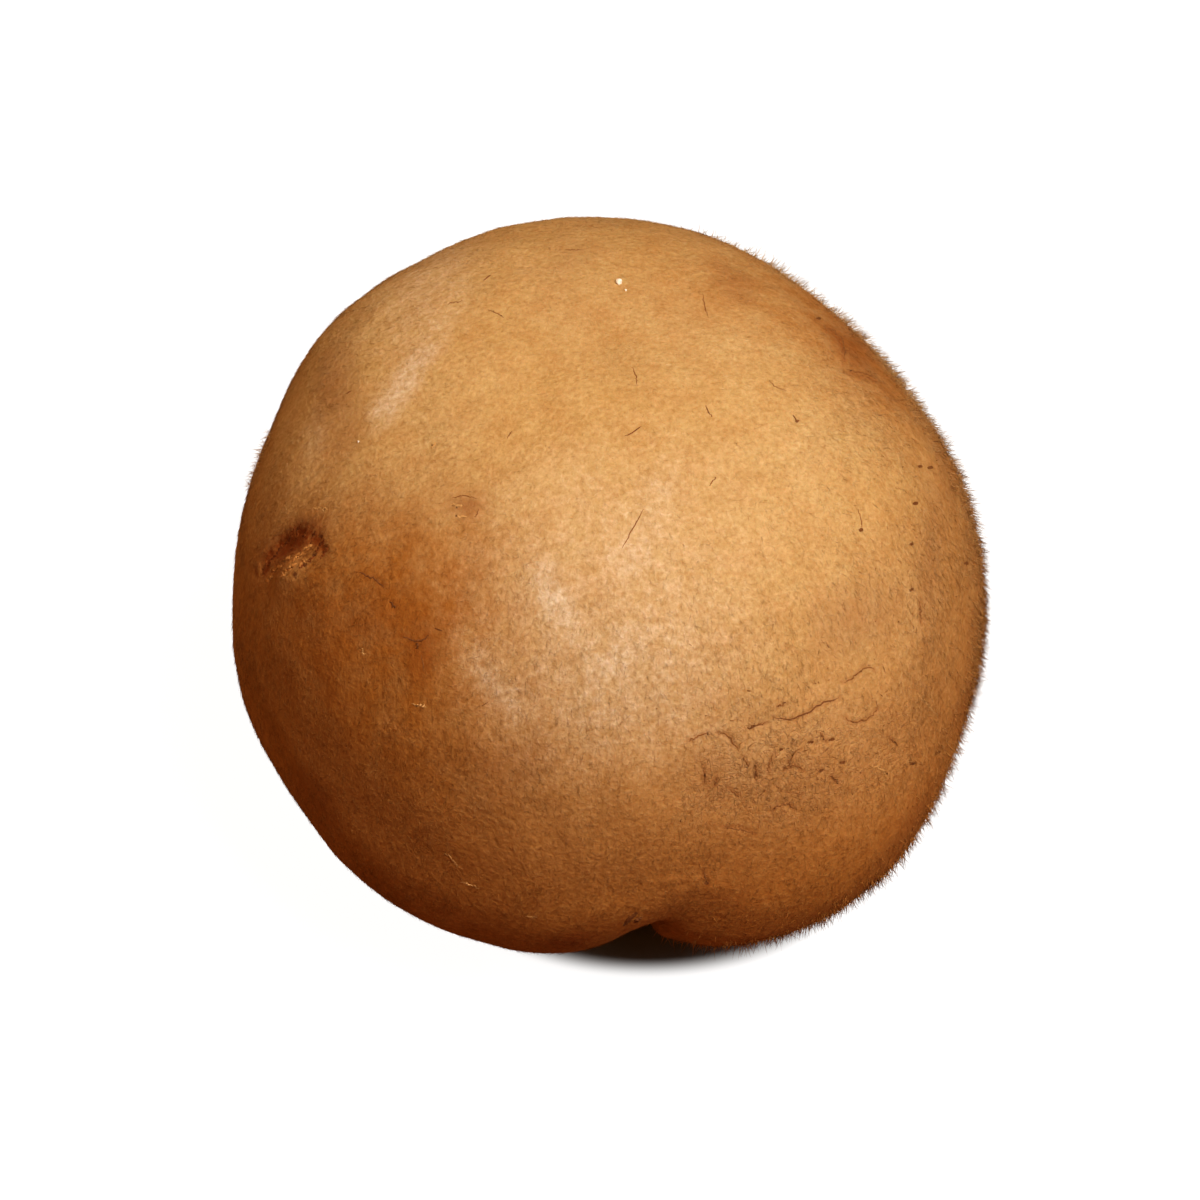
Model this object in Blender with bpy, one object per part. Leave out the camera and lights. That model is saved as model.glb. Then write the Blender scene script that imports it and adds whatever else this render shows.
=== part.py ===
"""A brown button mushroom, standing on its cut stem.

Metres, +Z up. The origin is the centre of the stem's flat cut end, and -Y is the side with the
cleft in the rim. The mushroom is one solid: a full round cap whose rim rolls under, the closed
veil between the rim and the stem, and the short stem.
"""

import math

import bmesh
import bpy
import numpy as np

# The cap
CAP_RADIUS = 0.0237
CAP_TOP = 0.0438
CAP_WAIST = 0.0218
CAP_DEPTH = 0.0168
CAP_FULLNESS = 2.36
CAP_CORE = 0.0200
CAP_SAMPLES = 120
ROLL_START = math.radians(137.0)
# Where the stem ends and the cap begins, as a band of radius and a band of height
CAP_FROM_RADIUS = (0.0110, 0.0140)
CAP_FROM_HEIGHT = (0.0110, 0.0140)

# The rolled rim, the veil and the stem: radius and height of each station, from the rim inwards
UNDERSIDE = (
    (0.0152, 0.0079),
    (0.0140, 0.0082),
    (0.0134, 0.0091),
    (0.0127, 0.0099),
    (0.0115, 0.0098),
    (0.0102, 0.0089),
    (0.0094, 0.0074),
    (0.0089, 0.0050),
    (0.0090, 0.0028),
    (0.0093, 0.0012),
    (0.0092, 0.0004),
)
SKIN_EDGE_RADIUS = 0.0136
SKIN_EDGE_HEIGHT = 0.0111
CUT_RADIUS = 0.0088

# Swellings and hollows of the cap: azimuth in degrees, height, spread, and how far it stands out
SWELLINGS = (
    (-50, 0.0140, 0.0100, 0.0011),
    (-22, 0.0165, 0.0080, -0.0004),
    (2, 0.0230, 0.0085, -0.0005),
    (15, 0.0180, 0.0080, 0.0004),
    (24, 0.0315, 0.0085, -0.0010),
    (48, 0.0330, 0.0110, -0.0014),
    (70, 0.0370, 0.0060, 0.0002),
    (75, 0.0120, 0.0050, -0.0008),
    (105, 0.0200, 0.0120, 0.0007),
    (145, 0.0390, 0.0090, 0.0008),
    (170, 0.0290, 0.0090, -0.0006),
    (-160, 0.0150, 0.0080, -0.0003),
    (-120, 0.0110, 0.0080, 0.0006),
    (-20, 0.0400, 0.0070, 0.0004),
)

# The dent high on the left: a crescent, sunk beside a raised lip, and turned to run up the cap
DENT_AZIMUTH = math.radians(199.0)
DENT_HEIGHT = 0.0338
DENT_TURN = math.radians(70.0)
DENT_LENGTH = 0.0021
DENT_WIDTH = 0.0010
DENT_DEPTH = 0.0007
DENT_LIP = 0.0004
DENT_REACH = 0.0040
DENT_CURL = 0.25
DENT_LIP_OFFSET = 1.9

# The cleft, where the rim folds in between two lobes
CLEFT_AZIMUTH = math.radians(-88.0)
CLEFT_SLANT = math.radians(9.0)
CLEFT_REACH = math.radians(30.0)
CLEFT_TOP = 0.0215
CLEFT_FULL = 0.0085
CLEFT_DEPTH = 0.0023
CLEFT_LEFT_SIDE = 0.0046
CLEFT_RIGHT_SIDE = 0.0080
FOLD_TOP = 0.0170
FOLD_DEPTH = 0.0036
FOLD_SIDE = 0.0024
CLEFT_CREASE = 0.0006
CLEFT_FROM_RADIUS = (0.0100, 0.0150)

# The outline seen from above: how many lobes go round, the share they stand out by, and their turn
OUTLINE_LOBES = ((2, 0.006, math.radians(20)), (3, 0.007, math.radians(-50)), (5, 0.003, 0.4))
RIM_WAVES = ((2, 0.0005, 0.6), (5, 0.0002, 2.0))
RIM_HEIGHT = 0.0085
RIM_BAND = 0.0025
RIM_FROM_RADIUS = (0.0100, 0.0125)
# The cap sits a little to one side of the stem
CAP_SHIFT = (0.0007, -0.0004)
CAP_SHIFT_HEIGHTS = (0.0, 0.0095)
STEM_OVAL = 0.03
STEM_RIBS = ((5, 0.012, 0.3), (9, 0.006, 1.1))

# Mesh density
COLUMNS = 88
ROWS = 50
CROWDING = 0.45
UNDERSIDE_CROWDING = 1.7
UNDERSIDE_BAND = (0.0120, 0.0090)
ROUNDING_PASSES = 3
CORNER_CUT = 0.25
JOIN_DISTANCE = 1e-6

SKIN_COLOUR = (0.55, 0.30, 0.12, 1.0)
SKIN_ROUGHNESS = 0.6
FLESH_COLOUR = (0.78, 0.66, 0.48, 1.0)
FLESH_ROUGHNESS = 0.7


def smooth_step(value, band):
    """0 before the band's start, 1 after its end, and an even S between them."""
    start, end = band
    share = np.clip((value - start) / (end - start), 0.0, 1.0)
    return share * share * (3.0 - 2.0 * share)


def cap_curve(turn):
    """Radius and height of the cap's outline at an angle from its top, in radians."""
    across = np.abs(np.sin(turn)) ** (2.0 / CAP_FULLNESS)
    upright = np.abs(np.cos(turn)) ** (2.0 / CAP_FULLNESS)
    above = CAP_WAIST + (CAP_TOP - CAP_WAIST) * upright
    below = CAP_WAIST - CAP_DEPTH * upright
    return CAP_RADIUS * across, np.where(turn < math.pi / 2, above, below)


def cap_radius_at(height):
    """Radius of the plain cap at a height."""
    reach = (CAP_TOP - CAP_WAIST) if height > CAP_WAIST else CAP_DEPTH
    share = min(1.0, abs(height - CAP_WAIST) / reach)
    return CAP_RADIUS * (1.0 - share**CAP_FULLNESS) ** (1.0 / CAP_FULLNESS)


def cap_point(azimuth, height):
    """The point of the plain cap at an azimuth and a height."""
    radius = cap_radius_at(height)
    return np.array((radius * math.cos(azimuth), radius * math.sin(azimuth), height))


def rounded(points):
    """The line with its corners cut off again and again, and its ends kept."""
    for _ in range(ROUNDING_PASSES):
        first, second = points[:-1], points[1:]
        cut = np.empty((2 * len(first), 2))
        cut[0::2] = first + CORNER_CUT * (second - first)
        cut[1::2] = second + CORNER_CUT * (first - second)
        points = np.vstack((points[:1], cut, points[-1:]))
    return points


def profile():
    """Radius and height down the side, from the cap's top to the centre of the cut, in ROWS points."""
    turns = np.linspace(0.0, ROLL_START, CAP_SAMPLES)
    cap = np.column_stack(cap_curve(turns))
    line = rounded(np.vstack((cap, UNDERSIDE)))
    steps = np.hypot(*np.diff(line, axis=0).T)
    middle = (line[1:] + line[:-1]) / 2
    weight = 1.0 + (UNDERSIDE_CROWDING - 1.0) * smooth_step(middle[:, 1], UNDERSIDE_BAND)
    along = np.concatenate(((0.0,), np.cumsum(steps * weight)))
    wanted = np.linspace(0.0, along[-1], ROWS - 2)
    side = np.column_stack([np.interp(wanted, along, line[:, axis]) for axis in (0, 1)])
    return np.vstack((side, ((CUT_RADIUS, 0.0), (0.0, 0.0))))


def swelling(points):
    """How far the cap's broad swellings and hollows move each point outwards."""
    total = np.zeros(len(points))
    for azimuth, height, spread, rise in SWELLINGS:
        away = np.linalg.norm(points - cap_point(math.radians(azimuth), height), axis=1)
        total += rise * np.exp(-((away / spread) ** 2))
    return total


def dent(points):
    """How far the crescent dent and its lip move each point outwards."""
    centre = cap_point(DENT_AZIMUTH, DENT_HEIGHT)
    around = np.array((-math.sin(DENT_AZIMUTH), math.cos(DENT_AZIMUTH), 0.0))
    uphill = cap_point(DENT_AZIMUTH, DENT_HEIGHT + DENT_WIDTH) - centre
    uphill /= np.linalg.norm(uphill)
    offset = points - centre
    side = offset @ (math.cos(DENT_TURN) * around + math.sin(DENT_TURN) * uphill)
    down = offset @ (math.sin(DENT_TURN) * around - math.cos(DENT_TURN) * uphill)
    down -= DENT_CURL * side**2 / DENT_LENGTH
    away = np.linalg.norm(offset, axis=1)
    near = np.exp(-((side / DENT_LENGTH) ** 2) - (away / DENT_REACH) ** 4)
    hollow = np.exp(-((down / DENT_WIDTH) ** 2))
    lip = np.exp(-((down / DENT_WIDTH - DENT_LIP_OFFSET) ** 2))
    return near * (DENT_LIP * lip - DENT_DEPTH * hollow)


def cleft_share(height, top):
    """How fully a part of the cleft is formed at a height: 1 at the rim, 0 at its upper end."""
    return 1.0 - smooth_step(height, (CLEFT_FULL, top))


def cleft_angle(azimuth):
    """The azimuth counted from the cleft, between minus and plus half a turn."""
    return np.angle(np.exp(1j * (azimuth - CLEFT_AZIMUTH)))


def cleft(points):
    """How far each point of the cap is drawn in at the cleft: a wide dip, with a narrow fold in it."""
    radius = np.hypot(points[:, 0], points[:, 1])
    away = cleft_angle(np.arctan2(points[:, 1], points[:, 0])) * radius
    side = np.where(away < 0, CLEFT_LEFT_SIDE, CLEFT_RIGHT_SIDE)
    away = np.sqrt(away**2 + CLEFT_CREASE**2) - CLEFT_CREASE
    dip = CLEFT_DEPTH * np.clip(1.0 - away / side, 0.0, 1.0) ** 2
    fold = FOLD_DEPTH * np.clip(1.0 - away / FOLD_SIDE, 0.0, 1.0) ** 2
    drawn = dip * cleft_share(points[:, 2], CLEFT_TOP) + fold * cleft_share(points[:, 2], FOLD_TOP)
    return drawn * smooth_step(radius, CLEFT_FROM_RADIUS)


def slanted(points):
    """The points turned about the stem's axis beside the cleft, so that it leans as it rises."""
    azimuth = np.arctan2(points[:, 1], points[:, 0])
    radius = np.hypot(points[:, 0], points[:, 1])
    near = np.exp(-((cleft_angle(azimuth) / CLEFT_REACH) ** 2))
    azimuth += CLEFT_SLANT * near * (1.0 - cleft_share(points[:, 2], CLEFT_TOP))
    return np.column_stack((radius * np.cos(azimuth), radius * np.sin(azimuth), points[:, 2]))


def grown(points, normals):
    """The spun blank's points, moved to where the mushroom grew."""
    azimuth = np.arctan2(points[:, 1], points[:, 0])
    radius = np.hypot(points[:, 0], points[:, 1])
    height = points[:, 2]
    on_cap = smooth_step(radius, CAP_FROM_RADIUS) + smooth_step(height, CAP_FROM_HEIGHT)
    on_cap = np.clip(on_cap, 0.0, 1.0)
    moved = points + normals * (on_cap * (swelling(points) + dent(points)))[:, None]

    inward = np.array((0.0, 0.0, CAP_CORE)) - points
    inward /= np.linalg.norm(inward, axis=1)[:, None]
    moved = slanted(moved + inward * cleft(points)[:, None])

    outline = sum(share * np.cos(count * (azimuth - turn)) for count, share, turn in OUTLINE_LOBES)
    moved[:, :2] *= (1.0 + on_cap * outline)[:, None]
    ribs = sum(share * np.cos(count * azimuth + turn) for count, share, turn in STEM_RIBS)
    oval = STEM_OVAL * np.cos(2.0 * azimuth)
    moved[:, :2] *= (1.0 + (1.0 - on_cap) * (ribs + oval))[:, None]

    near_rim = np.exp(-(((height - RIM_HEIGHT) / RIM_BAND) ** 2)) * smooth_step(radius, RIM_FROM_RADIUS)
    waves = sum(rise * np.sin(count * azimuth + turn) for count, rise, turn in RIM_WAVES)
    moved[:, 2] += near_rim * waves
    moved[:, :2] += np.outer(smooth_step(height, CAP_SHIFT_HEIGHTS), CAP_SHIFT)
    return moved


def spun_blank():
    """The profile spun round the stem's axis, crowded towards the cleft, as a closed bmesh."""
    blank = bmesh.new()
    across, along = math.cos(CLEFT_AZIMUTH), math.sin(CLEFT_AZIMUTH)
    line = [blank.verts.new((radius * across, radius * along, height)) for radius, height in profile()]
    edges = [blank.edges.new(pair) for pair in zip(line, line[1:])]
    bmesh.ops.spin(
        blank,
        geom=line + edges,
        cent=(0.0, 0.0, 0.0),
        axis=(0.0, 0.0, 1.0),
        angle=2.0 * math.pi,
        steps=COLUMNS,
        use_duplicate=False,
    )
    bmesh.ops.remove_doubles(blank, verts=blank.verts, dist=JOIN_DISTANCE)
    for vertex in blank.verts:
        radius = math.hypot(vertex.co.x, vertex.co.y)
        azimuth = math.atan2(vertex.co.y, vertex.co.x)
        azimuth -= CROWDING * math.sin(azimuth - CLEFT_AZIMUTH)
        vertex.co.x = radius * math.cos(azimuth)
        vertex.co.y = radius * math.sin(azimuth)
    bmesh.ops.recalc_face_normals(blank, faces=blank.faces)
    blank.normal_update()
    return blank


def material(name, colour, roughness):
    """A plain Principled material."""
    made = bpy.data.materials.new(name)
    made.use_nodes = True
    shader = made.node_tree.nodes["Principled BSDF"]
    shader.inputs["Base Color"].default_value = colour
    shader.inputs["Roughness"].default_value = roughness
    shader.inputs["Metallic"].default_value = 0.0
    return made


def mushroom():
    """The whole mushroom: brown skin to the edge of the rolled rim, pale veil and stem inside it."""
    form = spun_blank()
    vertices = list(form.verts)
    points = np.array([vertex.co for vertex in vertices])
    normals = np.array([vertex.normal for vertex in vertices])
    for vertex, place in zip(vertices, grown(points, normals)):
        vertex.co = place
    for face in form.faces:
        middle = face.calc_center_median()
        inside = math.hypot(middle.x, middle.y) < SKIN_EDGE_RADIUS
        face.material_index = int(inside and middle.z < SKIN_EDGE_HEIGHT)
    mesh = bpy.data.meshes.new("mushroom")
    form.to_mesh(mesh)
    form.free()
    mesh.materials.append(material("brown_skin", SKIN_COLOUR, SKIN_ROUGHNESS))
    mesh.materials.append(material("pale_flesh", FLESH_COLOUR, FLESH_ROUGHNESS))
    mesh.shade_smooth()
    body = bpy.data.objects.new("mushroom", mesh)
    bpy.context.scene.collection.objects.link(body)
    return body


def main():
    for old in list(bpy.data.objects):
        bpy.data.objects.remove(old)
    mushroom()


main()
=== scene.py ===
"""The looks of a brown button mushroom: felted cap, cleft rim, cotton-like veil and short cut stem.

Metres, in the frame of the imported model: +Z up, the origin at the centre of the stem's cut end, and
-Y the side with the cleft in the rim. The form is spun from the same values as the solid and then
moved by the same formulas, on a much finer grid. Marks on the skin are placed by their pixel in the
1200 x 1200 photograph, cast onto the cap from the camera.
"""

import math

import bpy
import numpy as np
from mathutils import Matrix, Vector
from mathutils.bvhtree import BVHTree


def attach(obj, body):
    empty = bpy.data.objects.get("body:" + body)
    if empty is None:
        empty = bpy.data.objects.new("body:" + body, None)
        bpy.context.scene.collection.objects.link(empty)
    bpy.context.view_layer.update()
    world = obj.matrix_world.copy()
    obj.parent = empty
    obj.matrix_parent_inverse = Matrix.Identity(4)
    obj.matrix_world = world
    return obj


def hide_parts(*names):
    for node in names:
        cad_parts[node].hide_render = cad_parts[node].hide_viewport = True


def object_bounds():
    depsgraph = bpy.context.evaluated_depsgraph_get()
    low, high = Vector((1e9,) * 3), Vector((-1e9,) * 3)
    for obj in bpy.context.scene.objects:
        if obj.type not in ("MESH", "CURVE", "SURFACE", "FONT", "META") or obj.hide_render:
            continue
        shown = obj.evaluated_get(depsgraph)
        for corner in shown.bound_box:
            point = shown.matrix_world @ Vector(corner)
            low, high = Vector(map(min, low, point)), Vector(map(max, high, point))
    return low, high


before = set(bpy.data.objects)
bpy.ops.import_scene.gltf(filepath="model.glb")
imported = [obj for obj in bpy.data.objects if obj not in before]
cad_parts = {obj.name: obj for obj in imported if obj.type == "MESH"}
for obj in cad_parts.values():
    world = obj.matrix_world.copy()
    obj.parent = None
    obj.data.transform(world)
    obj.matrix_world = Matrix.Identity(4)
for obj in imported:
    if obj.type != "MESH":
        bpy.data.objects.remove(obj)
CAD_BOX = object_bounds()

# The camera, and how the photograph maps onto the plane through its target
CAMERA_ELEVATION = math.radians(47.0)
CAMERA_DISTANCE = 0.5
CAMERA_TARGET = np.array((0.0, 0.0, 0.0215))
PHOTO_PIXEL = 0.0001536
TARGET_PIXEL = (974.0, 714.0)
FRAME_PIXELS = 490.0
SENSOR_WIDTH = 36.0
CLIP_RANGE = (0.01, 10.0)
RIGHT = np.array((1.0, 0.0, 0.0))
UP = np.array((0.0, math.sin(CAMERA_ELEVATION), math.cos(CAMERA_ELEVATION)))
BACK = np.array((0.0, -math.cos(CAMERA_ELEVATION), math.sin(CAMERA_ELEVATION)))
CAMERA_SPOT = CAMERA_TARGET + CAMERA_DISTANCE * BACK

# The cap
CAP_RADIUS = 0.0237
CAP_TOP = 0.0438
CAP_WAIST = 0.0218
CAP_DEPTH = 0.0168
CAP_FULLNESS = 2.36
CAP_CORE = 0.0200
CAP_SAMPLES = 480
ROLL_START = math.radians(137.0)
CAP_FROM_RADIUS = (0.0110, 0.0140)
CAP_FROM_HEIGHT = (0.0110, 0.0140)

# The rolled rim, the veil and the stem: radius and height of each station, from the rim inwards
UNDERSIDE = (
    (0.0152, 0.0079),
    (0.0140, 0.0082),
    (0.0134, 0.0091),
    (0.0127, 0.0099),
    (0.0115, 0.0098),
    (0.0102, 0.0089),
    (0.0094, 0.0074),
    (0.0089, 0.0050),
    (0.0090, 0.0028),
    (0.0093, 0.0012),
    (0.0092, 0.0004),
)
CUT_RADIUS = 0.0088
ROUNDING_PASSES = 4
CORNER_CUT = 0.25

# Swellings and hollows of the cap: azimuth in degrees, height, spread, and how far it stands out
SWELLINGS = (
    (-50, 0.0140, 0.0100, 0.0011),
    (-22, 0.0165, 0.0080, -0.0004),
    (2, 0.0230, 0.0085, -0.0005),
    (15, 0.0180, 0.0080, 0.0004),
    (24, 0.0315, 0.0085, -0.0010),
    (48, 0.0330, 0.0110, -0.0014),
    (70, 0.0370, 0.0060, 0.0002),
    (75, 0.0120, 0.0050, -0.0008),
    (105, 0.0200, 0.0120, 0.0007),
    (145, 0.0390, 0.0090, 0.0008),
    (170, 0.0290, 0.0090, -0.0006),
    (-160, 0.0150, 0.0080, -0.0003),
    (-120, 0.0110, 0.0080, 0.0006),
    (-20, 0.0400, 0.0070, 0.0004),
)

# The dent high on the left: a crescent, sunk beside a raised lip, and turned to run up the cap
DENT_AZIMUTH = math.radians(199.0)
DENT_HEIGHT = 0.0338
DENT_TURN = math.radians(70.0)
DENT_LENGTH = 0.0021
DENT_WIDTH = 0.0010
DENT_DEPTH = 0.0005
DENT_LIP = 0.0004
DENT_REACH = 0.0040
DENT_CURL = 0.25
DENT_LIP_OFFSET = 1.9

# The cleft, where the rim folds in between two lobes
CLEFT_AZIMUTH = math.radians(-88.0)
CLEFT_SLANT = math.radians(9.0)
CLEFT_REACH = math.radians(30.0)
CLEFT_TOP = 0.0215
CLEFT_FULL = 0.0085
CLEFT_DEPTH = 0.0023
CLEFT_LEFT_SIDE = 0.0046
CLEFT_RIGHT_SIDE = 0.0080
FOLD_TOP = 0.0170
FOLD_DEPTH = 0.0036
FOLD_SIDE = 0.0024
CLEFT_CREASE = 0.0003
CLEFT_FROM_RADIUS = (0.0100, 0.0150)

# The outline seen from above: how many lobes go round, the share they stand out by, and their turn
OUTLINE_LOBES = ((2, 0.006, math.radians(20)), (3, 0.007, math.radians(-50)), (5, 0.003, 0.4))
RIM_WAVES = ((2, 0.0005, 0.6), (5, 0.0002, 2.0))
RIM_HEIGHT = 0.0085
RIM_BAND = 0.0025
RIM_FROM_RADIUS = (0.0100, 0.0125)
CAP_SHIFT = (0.0007, -0.0004)
CAP_SHIFT_HEIGHTS = (0.0, 0.0095)
STEM_OVAL = 0.03
STEM_RIBS = ((5, 0.012, 0.3), (9, 0.006, 1.1))

# The grids. Crowds are a middle, a spread and how many times closer the lines lie there
CAP_COLUMNS = 432
CAP_ROWS = 208
COLUMN_CROWDS = (
    (math.radians(-62.0), math.radians(24.0), 2.3),
    (math.radians(-84.0), math.radians(7.0), 1.7),
    (math.radians(-161.0), math.radians(8.0), 1.8),
)
CRACK_HEIGHT = 0.0290
ROW_CROWD_SPREAD = 0.0055
ROW_CROWD_TIMES = 1.7
CROWD_STEPS = 6000
FLESH_COLUMNS = 320
FLESH_ROWS = 96
SKIN_EDGE_RADIUS = 0.0136
SKIN_EDGE_RAG = 0.00022
SKIN_THICKNESS = 0.00016
SKIN_TURN_IN = 0.00032
FLESH_OVERLAP = 0.0030
FLESH_SINK = 0.25
UNDER_SKIN = (-0.0002, 0.0001)
CLOSING_RADIUS = 0.0115
CLOSING_HEIGHT = 0.0150
CLOSING_GAP = 0.001
CUT_ROWS = 14
CUT_HOLLOW_FROM = (0.0, 0.2)
CUT_MIDDLE = 0.00008
# How brown the cut is: least, how much more at its edge, and at its middle point
CUT_BRUISE = (0.25, 0.55, 0.2)
CUT_BRUISE_FROM = (0.6, 1.0)

# Noise: how many waves it adds up, and their least and greatest length as a share of a lump's size
RIPPLE_WAVES = 28
RIPPLE_LENGTHS = (1.3, 2.8)
# Relief from noise: its rise, the size of its lumps and its seed
BROAD_LUMPS = (0.00010, 0.0065, 42)
FINE_LUMPS = (0.00004, 0.0022, 43)
STREAK_RELIEF = (0.000012, 0.0009, 45)
CRAZED_RELIEF = (0.000012, 0.00075, 46)
PUCKER_RELIEF = (0.000045, 0.0022, 47)
FOLD_RELIEF = (0.00007, 0.075, 61)
RIB_RELIEF = (0.00008, 0.11, 62)
FINE_COTTON = (0.00005, 0.0007, 63)
BROAD_COTTON = (0.00006, 0.0018, 64)
CUT_RELIEF = (0.00006, 0.0012, 65)
# How noise is stretched down the side, and where it starts or ends
STREAK_RADIUS = 0.020
STREAK_STRETCH = 0.16
STREAK_FROM = (0.004, 0.012)
CRAZED_STRETCH = (1.0, 1.0, 0.6)
PUCKER_STRETCH = (1.0, 1.0, 1.5)
PUCKER_FROM = (0.72, 0.95)
FLESH_STRETCH = 12.0
RIB_STRETCH = (1.0, 1.0, 0.25)
STEM_BELOW = (0.0062, 0.0088)
CUT_BELOW = (0.0002, 0.0016)
# How the skin's grain wanders, and how its edge is ragged: rise, size and seed of the noise
GRAIN_WARP = (0.035, 0.006, 41)
SKIN_EDGE_RAGS = ((1.0, 0.10, 31), (0.8, 0.035, 32))
# How squarely the skin has to face the camera to show a mark of the photograph
SEEN_FACING = (0.02, 0.15)

# Patches where noise passes a threshold: size and seed of the noise, the threshold and the most
BACK_FLAKED = (0.009, 44, 0.75, 1.0)
BACK_BLOOM = (0.011, 49, 0.55, 0.8)
BACK_BLOOM_FROM = (0.018, 0.032)
BACK_BROWN = (0.012, 51, 0.3, 0.8)
BACK_BROWN_SHARE = 0.6
LOOSE_STAIN = (0.007, 50, 1.0, 1.0)
LOOSE_STAIN_SHARE = 0.35

MILLIMETRES = 1000.0
EVEN_TONE = 0.5
NODE = "mushroom"

# Cracks in the skin, as lines of photograph pixels
CRACKS = (
    ((1010, 772), (1014, 769.5), (1019, 768)),
    ((1022, 768.2), (1026.5, 769.4), (1030.5, 775)),
    ((1035, 766.2), (1042, 764)),
    ((1074, 762), (1077, 764.5), (1083.8, 762.3), (1087.8, 758)),
    ((1073, 747.7), (1077, 746.1), (1082.7, 740.7), (1086.5, 742.5)),
    ((1024, 807.3), (1030.7, 807.2), (1037.3, 809.7)),
    ((1043.7, 800), (1049.7, 796.4), (1053.6, 799.4)),
    ((1026.4, 791), (1030.8, 794.5)),
    ((1055.8, 774.6), (1052, 778), (1050.2, 783)),
    ((1037.4, 781), (1037.9, 788)),
    ((1104.4, 714), (1105.2, 723.5)),
    ((1016.6, 824.5), (1017.8, 830.5)),
    ((1066.5, 602), (1072, 606), (1074.2, 611), (1074, 617)),
    ((1074, 620), (1080, 621), (1087, 623.5)),
    ((1046, 757.5), (1050, 756)),
    ((1063.5, 768), (1066, 771.5)),
    ((1045, 776.5), (1042.5, 781.5), (1043, 785)),
    ((1049, 783), (1053, 781), (1057, 783.5)),
    ((1016.4, 782), (1017, 789)),
    ((1022, 786), (1021, 790)),
    ((1068, 786), (1071.5, 789)),
    ((1033, 778), (1034.5, 782.5)),
    ((1092, 770), (1096, 773.5)),
)
# The broadest and darkest of them
DARK_CRACKS = (
    ((1044.8, 761.8), (1053.5, 762.9), (1062, 757.5), (1072, 753.7)),
    ((875, 702.6), (881.5, 704.8), (886, 709)),
    ((893.5, 728.7), (899.8, 731.4), (904.4, 728.5)),
    ((899.8, 731.4), (899.2, 734)),
    ((888, 714.5), (890.5, 717.5)),
    ((1034, 766.6), (1037.5, 765.2)),
)
CRACK_DEPTH = 0.000035
CRACK_PIXELS = 0.9
CRACK_TINT_PIXELS = 1.3
CRACK_LIP = 0.000016
CRACK_LIP_PIXELS = 1.7
CRACK_LIP_SPREAD = 1.1
CRACK_LIP_END = 3.5
# Where the skin is flaked and crazed: photograph pixel, half length, half width, lean and strength
FLAKED_SPOTS = ((1050, 783, 50, 26, 12, 1.25), (1104, 730, 80, 16, 86, 0.45))

# The dent's torn edge and the swelling below it, in photograph pixels
DENT_EDGE = ((836, 702), (839, 697), (842.5, 692.4), (850, 685.5), (856.6, 686.5), (860.5, 693))
DENT_EDGE_PIXELS = 2.7
DENT_EDGE_DEPTH = 0.00018
# How unevenly it is torn: the mean, the swing, the size and seed of the noise, the least and the most
DENT_EDGE_TEARS = (0.75, 0.45, 0.0005, 48, 0.0, 1.0)
DENT_STROKES = (
    ((836, 703), (838.2, 699)),
    ((838.4, 700.5), (841, 695.2)),
    ((841, 697.5), (844, 691.5)),
    ((843.6, 694.5), (848, 687.5)),
    ((846.6, 691.8), (849.6, 683)),
    ((849.4, 690.6), (851.8, 681.8)),
    ((852.4, 690.6), (855, 683)),
    ((855.4, 691.6), (858.2, 685)),
    ((857.6, 694.8), (861.6, 688.4)),
    ((859.8, 697.2), (863, 692)),
    ((851.6, 701), (853.4, 698.6)),
    ((855.2, 698.4), (857.4, 695.6)),
)
DENT_BUMPS = ((846.5, 698.5, 11, 4.2, 38, 1.0),)
DENT_BUMP_RISE = 0.00026

# Dark threads that lie on the skin, as lines of photograph pixels, and fainter brown ones
THREADS = (
    ((984, 647), (986.6, 646.2), (990.8, 643)),
    ((1052.7, 638.4), (1054.8, 641.4)),
    ((1109.8, 649.4), (1114, 649), (1118.4, 650.6)),
    ((906.4, 725.4), (909.8, 726.7)),
    ((870.6, 629.8), (872.6, 628.4)),
    ((929.4, 581.2), (926.4, 583.6)),
)
FAINT_THREADS = (
    ((1016, 588.4), (1016.6, 594), (1018.3, 599.3)),
    ((986.8, 618.6), (988.8, 622), (989, 626.5)),
    ((1017, 634), (1018, 637), (1020, 639.6)),
    ((1042.6, 624), (1045.9, 627.3), (1050.4, 628.6)),
    ((1018.6, 667.6), (1020, 665.4), (1021.6, 663.6)),
    ((1078.9, 676), (1081, 681), (1080.6, 685.5)),
    ((911.2, 593.4), (915, 592.2), (918.6, 592.2)),
    ((928, 595.3), (931.5, 596.6), (935, 598.8)),
    ((959.4, 571), (967.4, 571)),
    ((913, 672.6), (919, 670.8), (924, 673)),
    ((924.8, 676.5), (922.8, 680.6)),
    ((982.6, 693.5), (985, 689), (987.5, 685), (990, 680), (992, 676)),
    ((1100, 636.4), (1103.4, 636.4), (1106.8, 638.4)),
    ((938, 645), (936, 648)),
    ((901, 736), (902.4, 743.5)),
)
# Painted shade: dark strips laid in the small gap where the cleft's fold opens
FOLD_GAP_SHADE = (
    ((983.6, 847.4), (986.4, 843.6), (989.6, 841.6)),
    ((988.0, 845.8), (990.6, 843.4)),
)

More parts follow.
